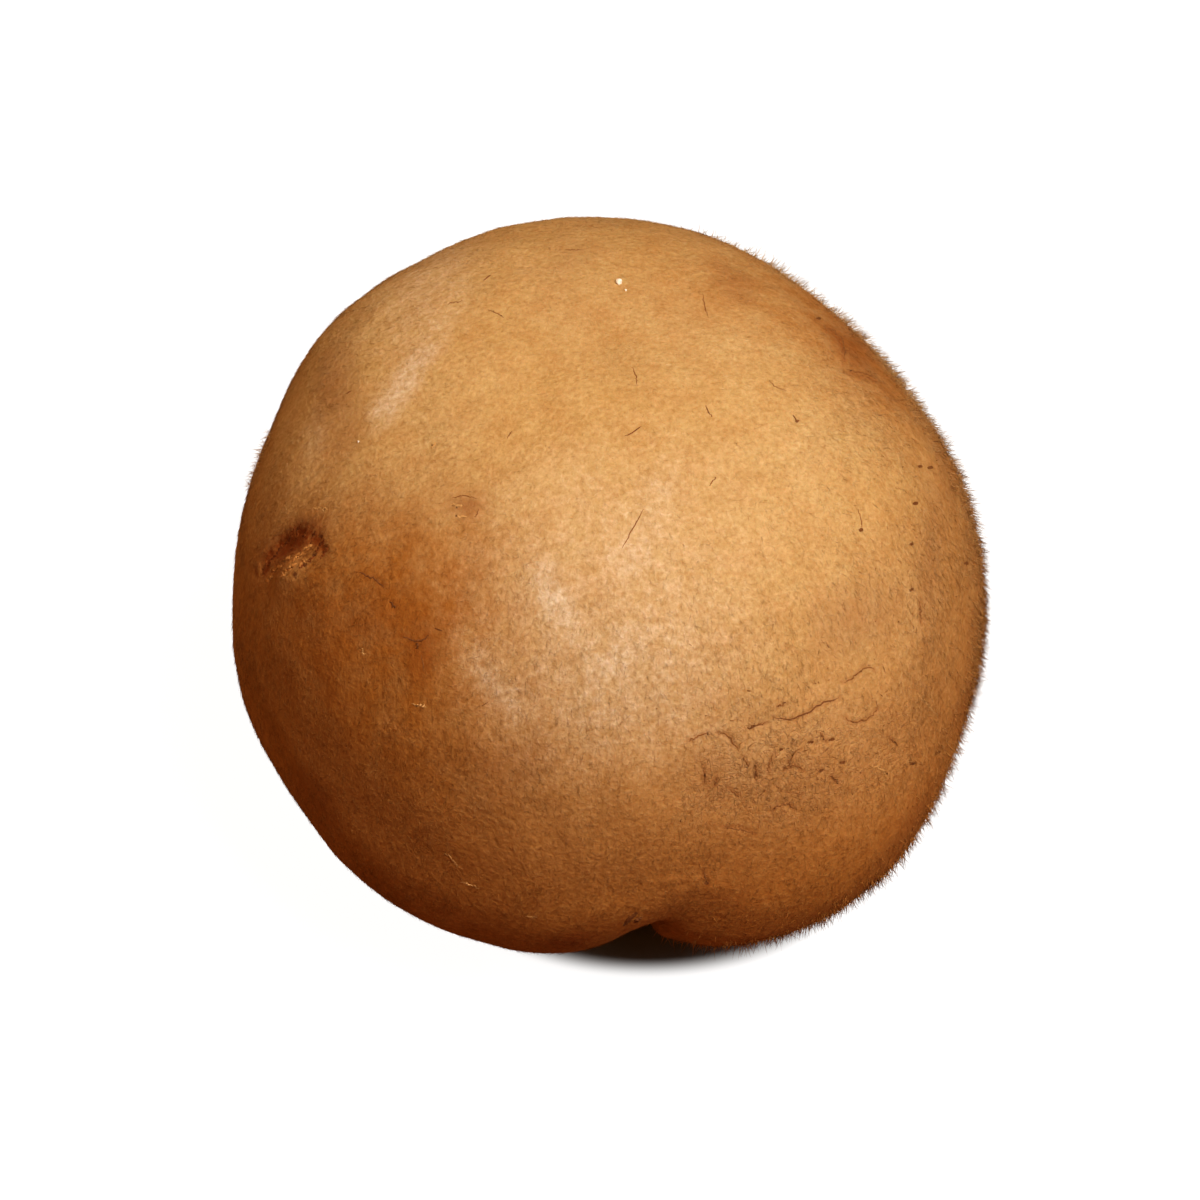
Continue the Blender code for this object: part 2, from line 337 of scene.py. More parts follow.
# Pits in the skin: photograph pixel and size in pixels
PITS = (
    (1060, 772, 1.3),
    (1068.6, 771, 1.2),
    (1073, 780.2, 1.2),
    (1064.3, 783.5, 1.0),
    (1037.6, 785.5, 0.7),
    (1112, 776.4, 1.1),
    (1101.7, 780.8, 0.9),
    (1017.5, 829.5, 0.9),
    (1108.8, 659.8, 1.1),
    (1104.8, 659.4, 0.8),
    (1102.8, 674.5, 1.1),
    (1101.2, 709.8, 0.9),
    (1123.6, 699, 0.9),
    (1101.2, 691.3, 0.8),
    (1063.2, 599, 0.9),
    (1080.6, 685.4, 0.9),
    (1054.6, 641, 0.8),
    (1048, 775, 0.8),
    (857.5, 695.5, 0.9),
    (853.6, 699.6, 0.8),
    (849.5, 703.5, 0.8),
    (860, 688, 0.9),
)
PIT_DEPTH = 0.00010
PIT_HALF_LENGTH = 1.10
PIT_LEAN = 0.2

# How fast a spot fades towards its edge
SPOT_FALL = 0.9

# Pale bloom on the skin, partly painted sheen highlights in its streaks and soft patches: photograph pixel,
# half length, half width, lean in degrees and strength
BLOOM_AND_SHEEN_SPOTS = (
    (895.5, 624, 19, 4.5, 54, 0.70),
    (887, 636, 8, 6, 50, 0.40),
    (858, 648, 12, 5, 80, 0.35),
    (902, 600, 30, 16, 50, 0.32),
    (957, 716, 13, 6, -65, 0.50),
    (951, 706, 9, 5, 80, 0.35),
    (931, 748, 16, 6, -52, 0.42),
    (998, 673, 13, 6, 75, 0.26),
    (986, 696, 9, 6, 60, 0.30),
    (981, 737, 12, 6, 55, 0.28),
    (988, 752, 44, 26, 20, 0.26),
    (978, 712, 66, 56, 60, 0.40),
    (905, 578, 26, 9, 35, 0.30),
)

# Painted shade, with soft edges: the cap darker along its outline and on its left side, where shade falls;
# laid out like the bloom and sheen spots
PAINTED_SHADE_SPOTS = (
    (1082, 612, 62, 17, -47, 0.75),
    (1122, 700, 75, 12, 90, 0.25),
    (905, 702, 34, 22, 0, 0.30),
    (882, 714, 56, 38, -8, 0.92),
    (890, 775, 62, 36, -50, 0.85),
    (1030, 590, 40, 16, -25, 0.22),
    (985, 596, 62, 18, 0, 0.16),
    (1096, 690, 40, 14, 90, 0.16),
)

# Rust-brown stains, and painted shade in the dent's hollow, down the cap's right edge, on its left side and
# at the lobe's lower edge by the cleft: photograph pixel, half length, half width, lean in degrees and
# strength
STAIN_AND_SHADE_SPOTS = (
    (849, 690.5, 12, 5.5, 38, 1.00),
    (1052, 782, 46, 22, 14, 0.10),
    (1078, 611, 16, 7, -47, 0.35),
    (1110, 690, 40, 6, 85, 0.15),
    (902, 736, 11, 6, 80, 0.32),
    (880, 722, 26, 14, 10, 0.20),
    (920, 676, 7, 5, 0, 0.34),
    (1020, 786, 12, 8, 80, 0.10),
    (1016, 835, 20, 7, 10, 0.10),
    (962, 853, 12, 3.5, 8, 0.60),
    (1101, 805, 22, 6, 55, 0.25),
)

# Light flecks where the skin has lifted: photograph pixels of each line
FLECKS = (
    ((909.7, 817), (913, 819.5), (916.8, 823.8)),
    ((916.8, 829), (925, 831.9)),
    ((896.7, 756.4), (902.8, 757.6)),
    ((856.4, 676.4), (863.2, 676.8)),
    ((876.8, 733.8), (877.4, 736.2)),
    ((943.2, 843), (948.8, 843.8)),
    ((1084.8, 781), (1092.6, 785.8)),
    ((1103.2, 752), (1108, 756.8), (1112.2, 762)),
    ((904.8, 652.4), (907, 649.6)),
    ((913, 675), (918, 675.6)),
    ((915, 679.4), (919.6, 680)),
)
# The lighter torn skin on the swelling below the dent
DENT_FLECKS = (
    ((837.5, 706.5), (841, 703.5)),
    ((839.6, 703.2), (844.5, 699.4)),
    ((842.5, 705), (846.5, 701.5)),
    ((844, 698.5), (848.5, 695.6)),
    ((845.6, 702.2), (850.5, 698.6)),
    ((848.6, 697.6), (853.5, 694.2)),
    ((850.5, 700.5), (854.5, 696.8)),
    ((852.6, 693.4), (856.5, 691.6)),
)
# Fine light creases by the cleft
CREASES = (
    ((994, 829.6), (1008, 828.4), (1027, 831.4)),
    ((1003, 833.4), (1014, 832.2), (1024, 833.6)),
    ((1008, 848.6), (1022, 851), (1040, 850.4)),
)
CREASE_PIXELS = 1.5
CREASE_RISE = 0.00005

PIT_LINES = tuple(
    ((x - PIT_HALF_LENGTH * size, y + PIT_LEAN), (x + PIT_HALF_LENGTH * size, y - PIT_LEAN))
    for x, y, size in PITS
)
# The marks laid on the skin: their lines, half width, height, how deep they are sunk, their colour,
# and how many pixels they wander
LAID_MARKS = {
    "cracks": (CRACKS, 0.000058, 0.00004, 0.00001, "crack_brown", 0.28),
    "dark_cracks": (DARK_CRACKS, 0.000062, 0.00005, 0.00001, "dark_thread_and_shade", 0.28),
    # Painted shade: dark dots laid in the pits
    "pits": (PIT_LINES, 0.00016, 0.00003, 0.00001, "dark_thread_and_shade", 0.0),
    "dent_strokes": (DENT_STROKES, 0.00010, 0.00003, 0.00001, "torn_rust", 0.35),
    "threads": (THREADS, 0.000042, 0.00004, 0.0, "dark_thread_and_shade", 0.0),
    "faint_threads": (FAINT_THREADS, 0.000042, 0.00003, 0.00001, "crack_brown", 0.18),
    # Painted shade in the gap of the cleft's fold
    "fold_gap_shade": (FOLD_GAP_SHADE, 0.00019, 0.00006, 0.00001, "dark_thread_and_shade", 0.18),
    "flecks": (FLECKS, 0.000075, 0.00004, 0.00001, "lifted_skin", 0.35),
    "dent_flecks": (DENT_FLECKS, 0.00016, 0.00005, 0.00002, "torn_skin", 0.45),
}
LINE_STEPS = 18
WORM_SIDES = 6
WORM_THINNEST = 0.02

# White crumbs: photograph pixel and radius
CRUMBS = (
    (981.7, 584.6, 0.00021),
    (875.4, 649.4, 0.00006),
    (984.6, 587.6, 0.00007),
)
CRUMB_ROWS = 9
CRUMB_COLUMNS = 14
CRUMB_LIFT = 0.35
# How lumpy a crumb is: the rise and the size of its lumps as shares of its radius, and a first seed
CRUMB_LUMPS = (0.22, 0.9, 80)

# The felt of short hairs: its pieces with the azimuth of their middle and a seed, and hairs in each
FELT_SIDES = (("felt_front", -90.0, 11), ("felt_right", 30.0, 12), ("felt_back", 150.0, 13))
FELT_HALF_SIDE = math.radians(60.0)
FELT_COUNT = 42000
FELT_SEED_STEP = 100
FELT_LOW_FROM = (0.004, 0.024)
FELT_TOP_SHARE = 0.16
# Clumps: the mean, the swing, the size and seed of the noise, the least and the most
FELT_CLUMPS = (0.75, 0.35, 0.004, 71, 0.15, 1.6)
FELT_TOP_SCALE = 0.55
FELT_TOP_YAW = 2.2
HAIR_YAW = math.radians(30.0)

# The hairs of each kind: length, lift from the skin, half width, and seed, tone or yaw where it has one
FELT = {
    "length": (0.00030, 0.00080),
    "lift": (math.radians(3.0), math.radians(20.0)),
    "width": 0.000010,
    "tone": (0.40, 0.60),
}
# Longer hairs, which stand out at the cap's edge, most of them on the right; their tone is painted lighter
# than the felt's, to offset the shade they cast on one another
FRINGE = {
    "seed": 74,
    "length": (0.00040, 0.00125),
    "lift": (math.radians(20.0), math.radians(70.0)),
    "yaw": HAIR_YAW,
    "width": 0.000026,
    # Painted light: a lighter tone than the felt's
    "tone": (0.75, 1.0),
}
# Brown threads strewn over the skin
LOOSE = {
    "seed": 92,
    "length": (0.0003, 0.0008),
    "lift": (0.0, math.radians(6.0)),
    "yaw": math.radians(55.0),
    "width": 0.000022,
    "bent": True,
}
# Small flakes where the skin is crazed
FLAKE = {
    "seed": 98,
    "length": (0.00007, 0.00032),
    "lift": (0.0, math.radians(2.0)),
    "yaw": math.radians(120.0),
    "width": 0.000034,
    "bent": True,
}
# Pale hairs that stand out at the left edge
EDGE_HAIR = {
    "seed": 96,
    "length": (0.00030, 0.00080),
    "lift": (math.radians(35.0), math.radians(80.0)),
    "yaw": math.radians(60.0),
    "width": 0.000016,
    "bent": True,
}
# How a hair bends: the spread of its sideways curl, and its least and greatest droop
HAIR_CURL = 0.22
HAIR_DROOP = (0.05, 0.35)
DROOP_SHARE = 0.5
HAIR_THICKNESS = (0.7, 1.3)
# How far a hair may stand out of the solid's box
HAIR_PROUD = 0.0006

FRINGE_COUNT = 9000
FRINGE_SEED = 73
FRINGE_MIDDLE = math.radians(-5.0)
FRINGE_SIDE = (math.radians(48.0), math.radians(84.0))
FRINGE_UPPER = (0.014, 0.024)
FRINGE_LOWER = (0.046, 0.056)
FRINGE_EDGE = 0.22
FRINGE_ELSEWHERE = 0.003
FRINGE_CLUMPS = (0.95, 0.15, 0.0015, 72, 0.1, 2.0)
LOOSE_COUNT = 100
LOOSE_SEED = 91
LOOSE_TOP_SHARE = 0.25
LOOSE_LOW_FROM = (0.012, 0.035)
FLAKE_COUNT = 230
FLAKE_SEED = 97
# The lower this power, the wider the flakes are spread
FLAKE_SPREAD = 0.7

# The left edge's hairs: the photograph's rows, how many, their seed, and how far in they grow
EDGE_HAIR_ROWS = (645.0, 669.0)
EDGE_HAIR_COUNT = 110
EDGE_HAIR_SEED = 95
EDGE_HAIR_PIXELS = (0.1, 1.6)
EDGE_SEARCH_START = 820.0
EDGE_SEARCH_STEP = 0.2
# The share of the way to the middle that a mark moves at a time, when its pixel is just off the cap
INWARD_SHARE = 0.004

# Colours of the skin, linear, and how red, green and blue follow a change in lightness
TOP_COLOUR = (0.590, 0.424, 0.212, 1.0)
TOP_PATCH_COLOUR = (0.548, 0.362, 0.152, 1.0)
# Towards the rim the skin is deeper, partly its own colour and partly painted shade on the lower cap
RIM_COLOUR = (0.430, 0.180, 0.036, 1.0)
RIM_PATCH_COLOUR = (0.370, 0.135, 0.022, 1.0)
MOTTLE_COLOUR = (0.430, 0.205, 0.058, 1.0)
# The pale bloom's colour, also that of the painted sheen highlights
BLOOM_AND_SHEEN_COLOUR = (0.640, 0.500, 0.350, 1.0)
# The colour of the painted shade, and of the browner patches on the back
SHADE_AND_BROWN_COLOUR = (0.390, 0.160, 0.030, 1.0)
# Rust brown, also the colour of the painted shade in the stains, the crack grooves and the pits
RUST_AND_SHADE_COLOUR = (0.250, 0.062, 0.008, 1.0)
WHITE = (1.0, 1.0, 1.0, 1.0)
WARMTH = (0.75, 1.1, 1.7)

# The skin's noises: size of a lump, detail, roughness, and distortion of the one that draws wrinkles
SKIN_NOISES = {
    "broad": (0.009, 3.0, 0.5),
    "mottle": (0.0021, 4.0, 0.6),
    "patch": (0.0009, 3.0, 0.6),
    "pebble": (0.00045, 3.0, 0.6),
    "speckle": (0.00025, 3.0, 0.62),
    "swirl": (0.0008, 2.0, 0.6, 1.6),
}
# Streaks: their width and length in millimetres, and a shift that keeps them apart
STREAKS = {"long_streak": (0.55, 5.0, 3.0), "fine_streak": (0.20, 1.8, 11.0)}
# Where bands of streaks start, in millimetres from the cap's top, and the radius that sets their width
STREAK_BANDS = ((0.0, 6.0), (9.0, 12.0), (17.0, 20.0), (30.0, 24.0))
STREAK_BLEND = 2.5
SKIN_VALUES = ("down", "bloom_and_sheen", "stain_and_shade", "painted_shade_and_browning", "groove", "flaked", "tone")

# Stretches of a value, and where they are carried: from low, from high, to low, to high
MIDDLE_SPAN = (0.3, 0.7)
NOISE_MIDDLE = 0.5
# Where the deeper rim colour comes in, partly painted shade on the lower cap
RIM_COLOUR_FROM = (0.26, 0.79)
DEEPER_SPAN = (0.35, 0.70, 0.0, 0.8)
MOTTLE_SPAN = (0.30, 0.72, 0.0, 0.34)
PATCH_SPAN = (0.35, 0.70, 0.0, 0.24)
SHADE_AND_BROWNING_SPAN = (0.3, 0.6, 0.6, 1.0)
BLOOM_AND_SHEEN_SPAN = (0.10, 1.05)
BLOOM_AND_SHEEN_BREAKING = 1.5
STAIN_AND_SHADE_SPAN = (0.0, 0.80)
STAIN_AND_SHADE_BREAKING = 2.2
CRAZED_SPAN = (0.44, 0.64)
CRAZED_SHARE = 0.08
# How strongly the crack grooves and pits are darkened as painted shade
GROOVE_SPAN = (0.2, 1.0, 0.0, 0.30)
STREAK_LIGHTS = {"fine_streak": (0.25, 0.75, 0.92, 1.07), "long_streak": (0.28, 0.72, 0.96, 1.04)}
STREAKED_FROM = (0.10, 0.45, 0.1, 1.0)
SKIN_LIGHTS = {
    "patch": (0.30, 0.70, 0.94, 1.07),
    "pebble": (0.28, 0.72, 0.90, 1.10),
    "speckle": (0.25, 0.75, 0.83, 1.15),
    "tone": (0.0, 1.0, 0.80, 1.20),
    "flaked": (0.2, 1.0, 1.0, 1.20),
}
SKIN_ROUGHNESS = (0.3, 0.7, 0.58, 0.72)
# Bumps: how deep, and how strongly they act
SKIN_BUMPS = {
    "mottle": (0.00014, 0.6),
    "pebble": (0.00012, 0.7),
    "fine_streak": (0.00005, 0.55),
    "speckle": (0.00007, 0.65),
}
WRINKLE_BUMP = (0.00005, 0.7)
WRINKLE_THIN = 0.050
WRINKLE_SHARE = 0.13
WRINKLED_FROM = (0.45, 1.0)

# The flesh of the veil and stem, and the edge of the cut
FLESH_COLOUR = (0.84, 0.76, 0.62, 1.0)
FLESH_PATCH_COLOUR = (0.72, 0.60, 0.44, 1.0)
FIBRE_COLOUR = (0.56, 0.41, 0.25, 1.0)
BRUISE_COLOUR = (0.34, 0.18, 0.075, 1.0)
FLESH_MOTTLE = (0.0024, 4.0, 0.6)
FLESH_COTTON = (0.00035, 4.0, 0.65)
FIBRE_STRETCH = (9.0, 9.0, 0.12)
FIBRE_SIZE = 0.35
FIBRE_SPAN = (0.45, 0.75, 0.0, 0.5)
BRUISE_SPAN = (0.25, 0.65, 0.4, 1.0)
COTTON_LIGHT = (0.25, 0.75, 0.86, 1.10)
FLESH_ROUGHNESS = (0.3, 0.7, 0.62, 0.80)
FIBRE_BUMP = (0.00012, 0.6)
COTTON_BUMP = (0.00008, 0.7)

# The small marks: a dark and a light colour, and their roughness
SPECKS = {
    # Dark threads, also the colour of the painted shade in the fold's gap and the pits
    "dark_thread_and_shade": ((0.15, 0.055, 0.016, 1.0), (0.26, 0.105, 0.032, 1.0), 0.7),
    "crack_brown": ((0.20, 0.080, 0.022, 1.0), (0.33, 0.150, 0.048, 1.0), 0.75),
    "torn_rust": ((0.16, 0.040, 0.006, 1.0), (0.29, 0.090, 0.018, 1.0), 0.75),
    "lifted_skin": ((0.52, 0.29, 0.105, 1.0), (0.62, 0.38, 0.16, 1.0), 0.6),
    "torn_skin": ((0.46, 0.20, 0.055, 1.0), (0.60, 0.31, 0.10, 1.0), 0.65),
    "white_crumb": ((0.82, 0.78, 0.70, 1.0), (0.95, 0.93, 0.88, 1.0), 0.6),
}
GRIT_SIZE = 0.00025
GRIT_ROUGHNESS = 0.1
GRIT_BUMP = (0.00003, 0.6)

# The lights: the way to them from the mushroom, their distance, width, power and colour
LIGHTS = {
    "key": ((0.36, -0.40, 0.84), 0.70, 0.34, 5.9, (1.0, 0.96, 0.86)),
    "fill": ((-0.55, -0.62, 0.55), 1.0, 0.9, 0.48, (1.0, 0.52, 0.18)),
    "side": ((-0.85, 0.30, 0.35), 0.6, 0.35, 0.42, (1.0, 0.75, 0.30)),
    "rear": ((-0.40, 0.85, 0.36), 1.0, 0.6, 1.9, (1.0, 0.72, 0.38)),
}
ROOM_STRENGTH = 0.205
ROOM_COLOUR = (1.0, 0.36, 0.09, 1.0)
FLOOR_RADIUS = 3.0
FLOOR_SIDES = 96
VIEW_EXPOSURE = 0.12
VIEW_GAMMA = 0.84
FLOOR_SEEN = (0.14, 0.14, 0.145, 1.0)
FLOOR_BOUNCE = (0.20, 0.085, 0.030, 1.0)
FLOOR_GLOW = 0.90
# A painted contact shadow on the floor: a dark oval in front of the stem, seen by the camera, and a softer
# painted shade round the stem
FLOOR_SHADOW_MIDDLE = (0.0031, -0.0040)
FLOOR_SHADOW_REACH = (0.0116, 0.0077)
FLOOR_SHADOW_EDGE = (0.92, 1.16)
FLOOR_SHADE = 0.45
FLOOR_SHADE_FROM = (0.0085, 0.0125)
FAR_GLOW = 0.25
FAR_GLOW_FROM = (0.10, 0.70)


def smooth_step(value, band):
    """0 before the band's start, 1 after its end, and an even S between them."""
    start, end = band
    share = np.clip((value - start) / (end - start), 0.0, 1.0)
    return share * share * (3.0 - 2.0 * share)


def unit(vectors):
    """The vectors at length 1."""
    return vectors / np.maximum(np.linalg.norm(vectors, axis=-1, keepdims=True), 1e-12)


def ripple(points, size, seed):
    """A smooth random field over points, about -1 to 1, whose lumps are about size across."""
    draw = np.random.default_rng(seed)
    total = np.zeros(points.shape[:-1])
    for _ in range(RIPPLE_WAVES):
        direction = unit(draw.normal(size=3))
        pitch = 2.0 * math.pi / (size * draw.uniform(*RIPPLE_LENGTHS))
        total += np.sin(points @ direction * pitch + draw.uniform(0.0, 2.0 * math.pi))
    return total / math.sqrt(RIPPLE_WAVES)


def rough(points, rise, size, seed):
    """Relief from noise, about rise high."""
    return rise * ripple(points, size, seed)


def uneven(points, mean, swing, size, seed, least, most):
    """A share that noise makes larger here and smaller there, between two bounds."""
    return np.clip(mean + swing * ripple(points, size, seed), least, most)


def patches(points, size, seed, threshold, most):
    """Soft patches where noise passes a threshold."""
    return np.clip(ripple(points, size, seed) - threshold, 0.0, most)


# The form, as the solid has it


def cap_curve(turn):
    """Radius and height of the cap's outline at an angle from its top, in radians."""
    across = np.abs(np.sin(turn)) ** (2.0 / CAP_FULLNESS)
    upright = np.abs(np.cos(turn)) ** (2.0 / CAP_FULLNESS)
    above = CAP_WAIST + (CAP_TOP - CAP_WAIST) * upright
    below = CAP_WAIST - CAP_DEPTH * upright
    return CAP_RADIUS * across, np.where(turn < math.pi / 2, above, below)


def cap_radius_at(height):
    """Radius of the plain cap at a height."""
    reach = (CAP_TOP - CAP_WAIST) if height > CAP_WAIST else CAP_DEPTH
    share = min(1.0, abs(height - CAP_WAIST) / reach)
    return CAP_RADIUS * (1.0 - share**CAP_FULLNESS) ** (1.0 / CAP_FULLNESS)


def cap_point(azimuth, height):
    """The point of the plain cap at an azimuth and a height."""
    radius = cap_radius_at(height)
    return np.array((radius * math.cos(azimuth), radius * math.sin(azimuth), height))


def rounded(points):
    """The line with its corners cut off again and again, and its ends kept."""
    for _ in range(ROUNDING_PASSES):
        first, second = points[:-1], points[1:]
        cut = np.empty((2 * len(first), 2))
        cut[0::2] = first + CORNER_CUT * (second - first)
        cut[1::2] = second + CORNER_CUT * (first - second)
        points = np.vstack((points[:1], cut, points[-1:]))
    return points


class Profile:
    """The mushroom's side from the cap's top to the stem's cut, by distance along it."""

    def __init__(self):
        turns = np.linspace(0.0, ROLL_START, CAP_SAMPLES)
        line = rounded(np.vstack((np.column_stack(cap_curve(turns)), UNDERSIDE)))
        line = np.vstack((line, ((CUT_RADIUS, 0.0),)))
        steps = np.hypot(*np.diff(line, axis=0).T)
        keep = np.concatenate(((True,), steps > 1e-9))
        self.line = line[keep]
        self.along = np.concatenate(((0.0,), np.cumsum(np.hypot(*np.diff(self.line, axis=0).T))))
        self.length = self.along[-1]
        tangent = unit(np.gradient(self.line, self.along, axis=0))
        self.outward = np.column_stack((-tangent[:, 1], tangent[:, 0]))

    def at(self, along):
        """Radius and height at a distance along the side."""
        return [np.interp(along, self.along, self.line[:, axis]) for axis in (0, 1)]

    def outward_at(self, along):
        """The outward normal, across and up, at a distance along the side."""
        return [np.interp(along, self.along, self.outward[:, axis]) for axis in (0, 1)]

    def find_height(self, height):
        """The distance along the side where the cap first comes down to a height."""
        return float(self.along[np.argmax(self.line[:, 1] < height)])

    def find_rim_radius(self, radius):
        """The distance along the side where the rolled rim first comes in to a radius."""
        past_waist = self.along > self.find_height(CAP_WAIST)
        return float(self.along[np.argmax(past_waist & (self.line[:, 0] < radius))])


PROFILE = Profile()


def swelling(points):
    """How far the cap's broad swellings and hollows move each point outwards."""
    total = np.zeros(len(points))
    for azimuth, height, spread, rise in SWELLINGS:
        away = np.linalg.norm(points - cap_point(math.radians(azimuth), height), axis=1)
        total += rise * np.exp(-((away / spread) ** 2))
    return total


def dent(points):
    """How far the crescent dent and its lip move each point outwards."""
    centre = cap_point(DENT_AZIMUTH, DENT_HEIGHT)
    around = np.array((-math.sin(DENT_AZIMUTH), math.cos(DENT_AZIMUTH), 0.0))
    uphill = cap_point(DENT_AZIMUTH, DENT_HEIGHT + DENT_WIDTH) - centre
    uphill /= np.linalg.norm(uphill)
    offset = points - centre
    side = offset @ (math.cos(DENT_TURN) * around + math.sin(DENT_TURN) * uphill)
    down = offset @ (math.sin(DENT_TURN) * around - math.cos(DENT_TURN) * uphill)
    down -= DENT_CURL * side**2 / DENT_LENGTH
    away = np.linalg.norm(offset, axis=1)
    near = np.exp(-((side / DENT_LENGTH) ** 2) - (away / DENT_REACH) ** 4)
    hollow = np.exp(-((down / DENT_WIDTH) ** 2))
    lip = np.exp(-((down / DENT_WIDTH - DENT_LIP_OFFSET) ** 2))
    return near * (DENT_LIP * lip - DENT_DEPTH * hollow)


def cleft_share(height, top):
    """How fully a part of the cleft is formed at a height: 1 at the rim, 0 at its upper end."""
    return 1.0 - smooth_step(height, (CLEFT_FULL, top))


def cleft_angle(azimuth):
    """The azimuth counted from the cleft, between minus and plus half a turn."""
    return np.angle(np.exp(1j * (azimuth - CLEFT_AZIMUTH)))


def cleft(points):
    """How far each point of the cap is drawn in at the cleft: a wide dip, with a narrow fold in it."""
    radius = np.hypot(points[:, 0], points[:, 1])
    away = cleft_angle(np.arctan2(points[:, 1], points[:, 0])) * radius
    side = np.where(away < 0, CLEFT_LEFT_SIDE, CLEFT_RIGHT_SIDE)
    away = np.sqrt(away**2 + CLEFT_CREASE**2) - CLEFT_CREASE
    dip = CLEFT_DEPTH * np.clip(1.0 - away / side, 0.0, 1.0) ** 2
    fold = FOLD_DEPTH * np.clip(1.0 - away / FOLD_SIDE, 0.0, 1.0) ** 2
    drawn = dip * cleft_share(points[:, 2], CLEFT_TOP) + fold * cleft_share(points[:, 2], FOLD_TOP)
    return drawn * smooth_step(radius, CLEFT_FROM_RADIUS)


def slanted(points):
    """The points turned about the stem's axis beside the cleft, so that it leans as it rises."""
    azimuth = np.arctan2(points[:, 1], points[:, 0])
    radius = np.hypot(points[:, 0], points[:, 1])
    near = np.exp(-((cleft_angle(azimuth) / CLEFT_REACH) ** 2))
    azimuth += CLEFT_SLANT * near * (1.0 - cleft_share(points[:, 2], CLEFT_TOP))
    return np.column_stack((radius * np.cos(azimuth), radius * np.sin(azimuth), points[:, 2]))


def grown(points, normals):
    """The spun blank's points, moved to where the mushroom grew."""
    azimuth = np.arctan2(points[:, 1], points[:, 0])
    radius = np.hypot(points[:, 0], points[:, 1])
    height = points[:, 2]
    on_cap = smooth_step(radius, CAP_FROM_RADIUS) + smooth_step(height, CAP_FROM_HEIGHT)
    on_cap = np.clip(on_cap, 0.0, 1.0)
    moved = points + normals * (on_cap * (swelling(points) + dent(points)))[:, None]

    inward = np.array((0.0, 0.0, CAP_CORE)) - points
    inward /= np.linalg.norm(inward, axis=1)[:, None]
    moved = slanted(moved + inward * cleft(points)[:, None])

    outline = sum(share * np.cos(count * (azimuth - turn)) for count, share, turn in OUTLINE_LOBES)
    moved[:, :2] *= (1.0 + on_cap * outline)[:, None]
    ribs = sum(share * np.cos(count * azimuth + turn) for count, share, turn in STEM_RIBS)
    oval = STEM_OVAL * np.cos(2.0 * azimuth)
    moved[:, :2] *= (1.0 + (1.0 - on_cap) * (ribs + oval))[:, None]

    near_rim = np.exp(-(((height - RIM_HEIGHT) / RIM_BAND) ** 2)) * smooth_step(radius, RIM_FROM_RADIUS)
    waves = sum(rise * np.sin(count * azimuth + turn) for count, rise, turn in RIM_WAVES)
    moved[:, 2] += near_rim * waves
    moved[:, :2] += np.outer(smooth_step(height, CAP_SHIFT_HEIGHTS), CAP_SHIFT)
    return moved


# Grids over the form


def crowded(start, end, count, crowds):
    """count values from start to end, lying closer round each crowd's middle."""
    fine = np.linspace(start, end, CROWD_STEPS)
    weight = np.ones_like(fine)
    for middle, spread, times in crowds:
        weight += (times - 1.0) * np.exp(-(((fine - middle) / spread) ** 2))
    along = np.concatenate(((0.0,), np.cumsum((weight[1:] + weight[:-1]) / 2.0)))
    return np.interp(np.linspace(0.0, along[-1], count), along, fine)


class Sheet:
    """A grid of rings on the grown form: row by distance along the side, column by azimuth."""

    def __init__(self, along, azimuth):
        self.along = along
        self.azimuth = np.broadcast_to(azimuth, along.shape)
        radius, height = PROFILE.at(along)
        across, up = PROFILE.outward_at(along)
        sweep = np.stack((np.cos(self.azimuth), np.sin(self.azimuth)), axis=-1)
        blank = np.concatenate((radius[..., None] * sweep, height[..., None]), axis=-1)
        outward = np.concatenate((across[..., None] * sweep, up[..., None]), axis=-1)
        self.points = grown(blank.reshape(-1, 3), outward.reshape(-1, 3)).reshape(blank.shape)
        self.measure()

    def measure(self):
        """Works out the normals and the downhill directions from the points."""
        down = np.gradient(self.points, axis=0)
        round_ = np.roll(self.points, -1, axis=1) - np.roll(self.points, 1, axis=1)
        self.normals = unit(np.cross(down, round_))
        self.down = unit(down)

    def raise_by(self, relief):
        """Moves the points along their normals."""
        self.points = self.points + self.normals * relief[..., None]
        self.measure()


def photo_pixels(points):
    """Where points in space fall in the photograph, as x and y."""
    offset = points - CAMERA_SPOT
    scale = CAMERA_DISTANCE / (-(offset @ BACK)) / PHOTO_PIXEL
    return TARGET_PIXEL[0] + (offset @ RIGHT) * scale, TARGET_PIXEL[1] - (offset @ UP) * scale


def spots(x, y, seen, table):
    """The strength at each pixel of soft leaning ellipses, where the skin is seen."""
    total = np.zeros_like(x)
    for middle_x, middle_y, half_length, half_width, lean, strength in table:
        angle = math.radians(lean)
        across, up = x - middle_x, middle_y - y
        length = (across * math.cos(angle) + up * math.sin(angle)) / half_length
        width = (up * math.cos(angle) - across * math.sin(angle)) / half_width
        total += strength * np.exp(-(length**2 + width**2) * SPOT_FALL)
    return np.clip(total, 0.0, 1.0) * seen


def pixels_from_line(x, y, line):
    """How many pixels each place is from a line, and how far it is below it in the picture."""
    nearest = np.full(x.shape, np.inf)
    below = np.zeros(x.shape)
    for (start_x, start_y), (end_x, end_y) in zip(line, line[1:]):
        run_x, run_y = end_x - start_x, end_y - start_y
        share = ((x - start_x) * run_x + (y - start_y) * run_y) / (run_x**2 + run_y**2)
        share = np.clip(share, 0.0, 1.0)
        off_x, off_y = x - start_x - share * run_x, y - start_y - share * run_y
        away = np.hypot(off_x, off_y)
        closer = away < nearest
        nearest = np.where(closer, away, nearest)
        below = np.where(closer, np.where(off_y >= 0.0, away, -away), below)
    return nearest, below


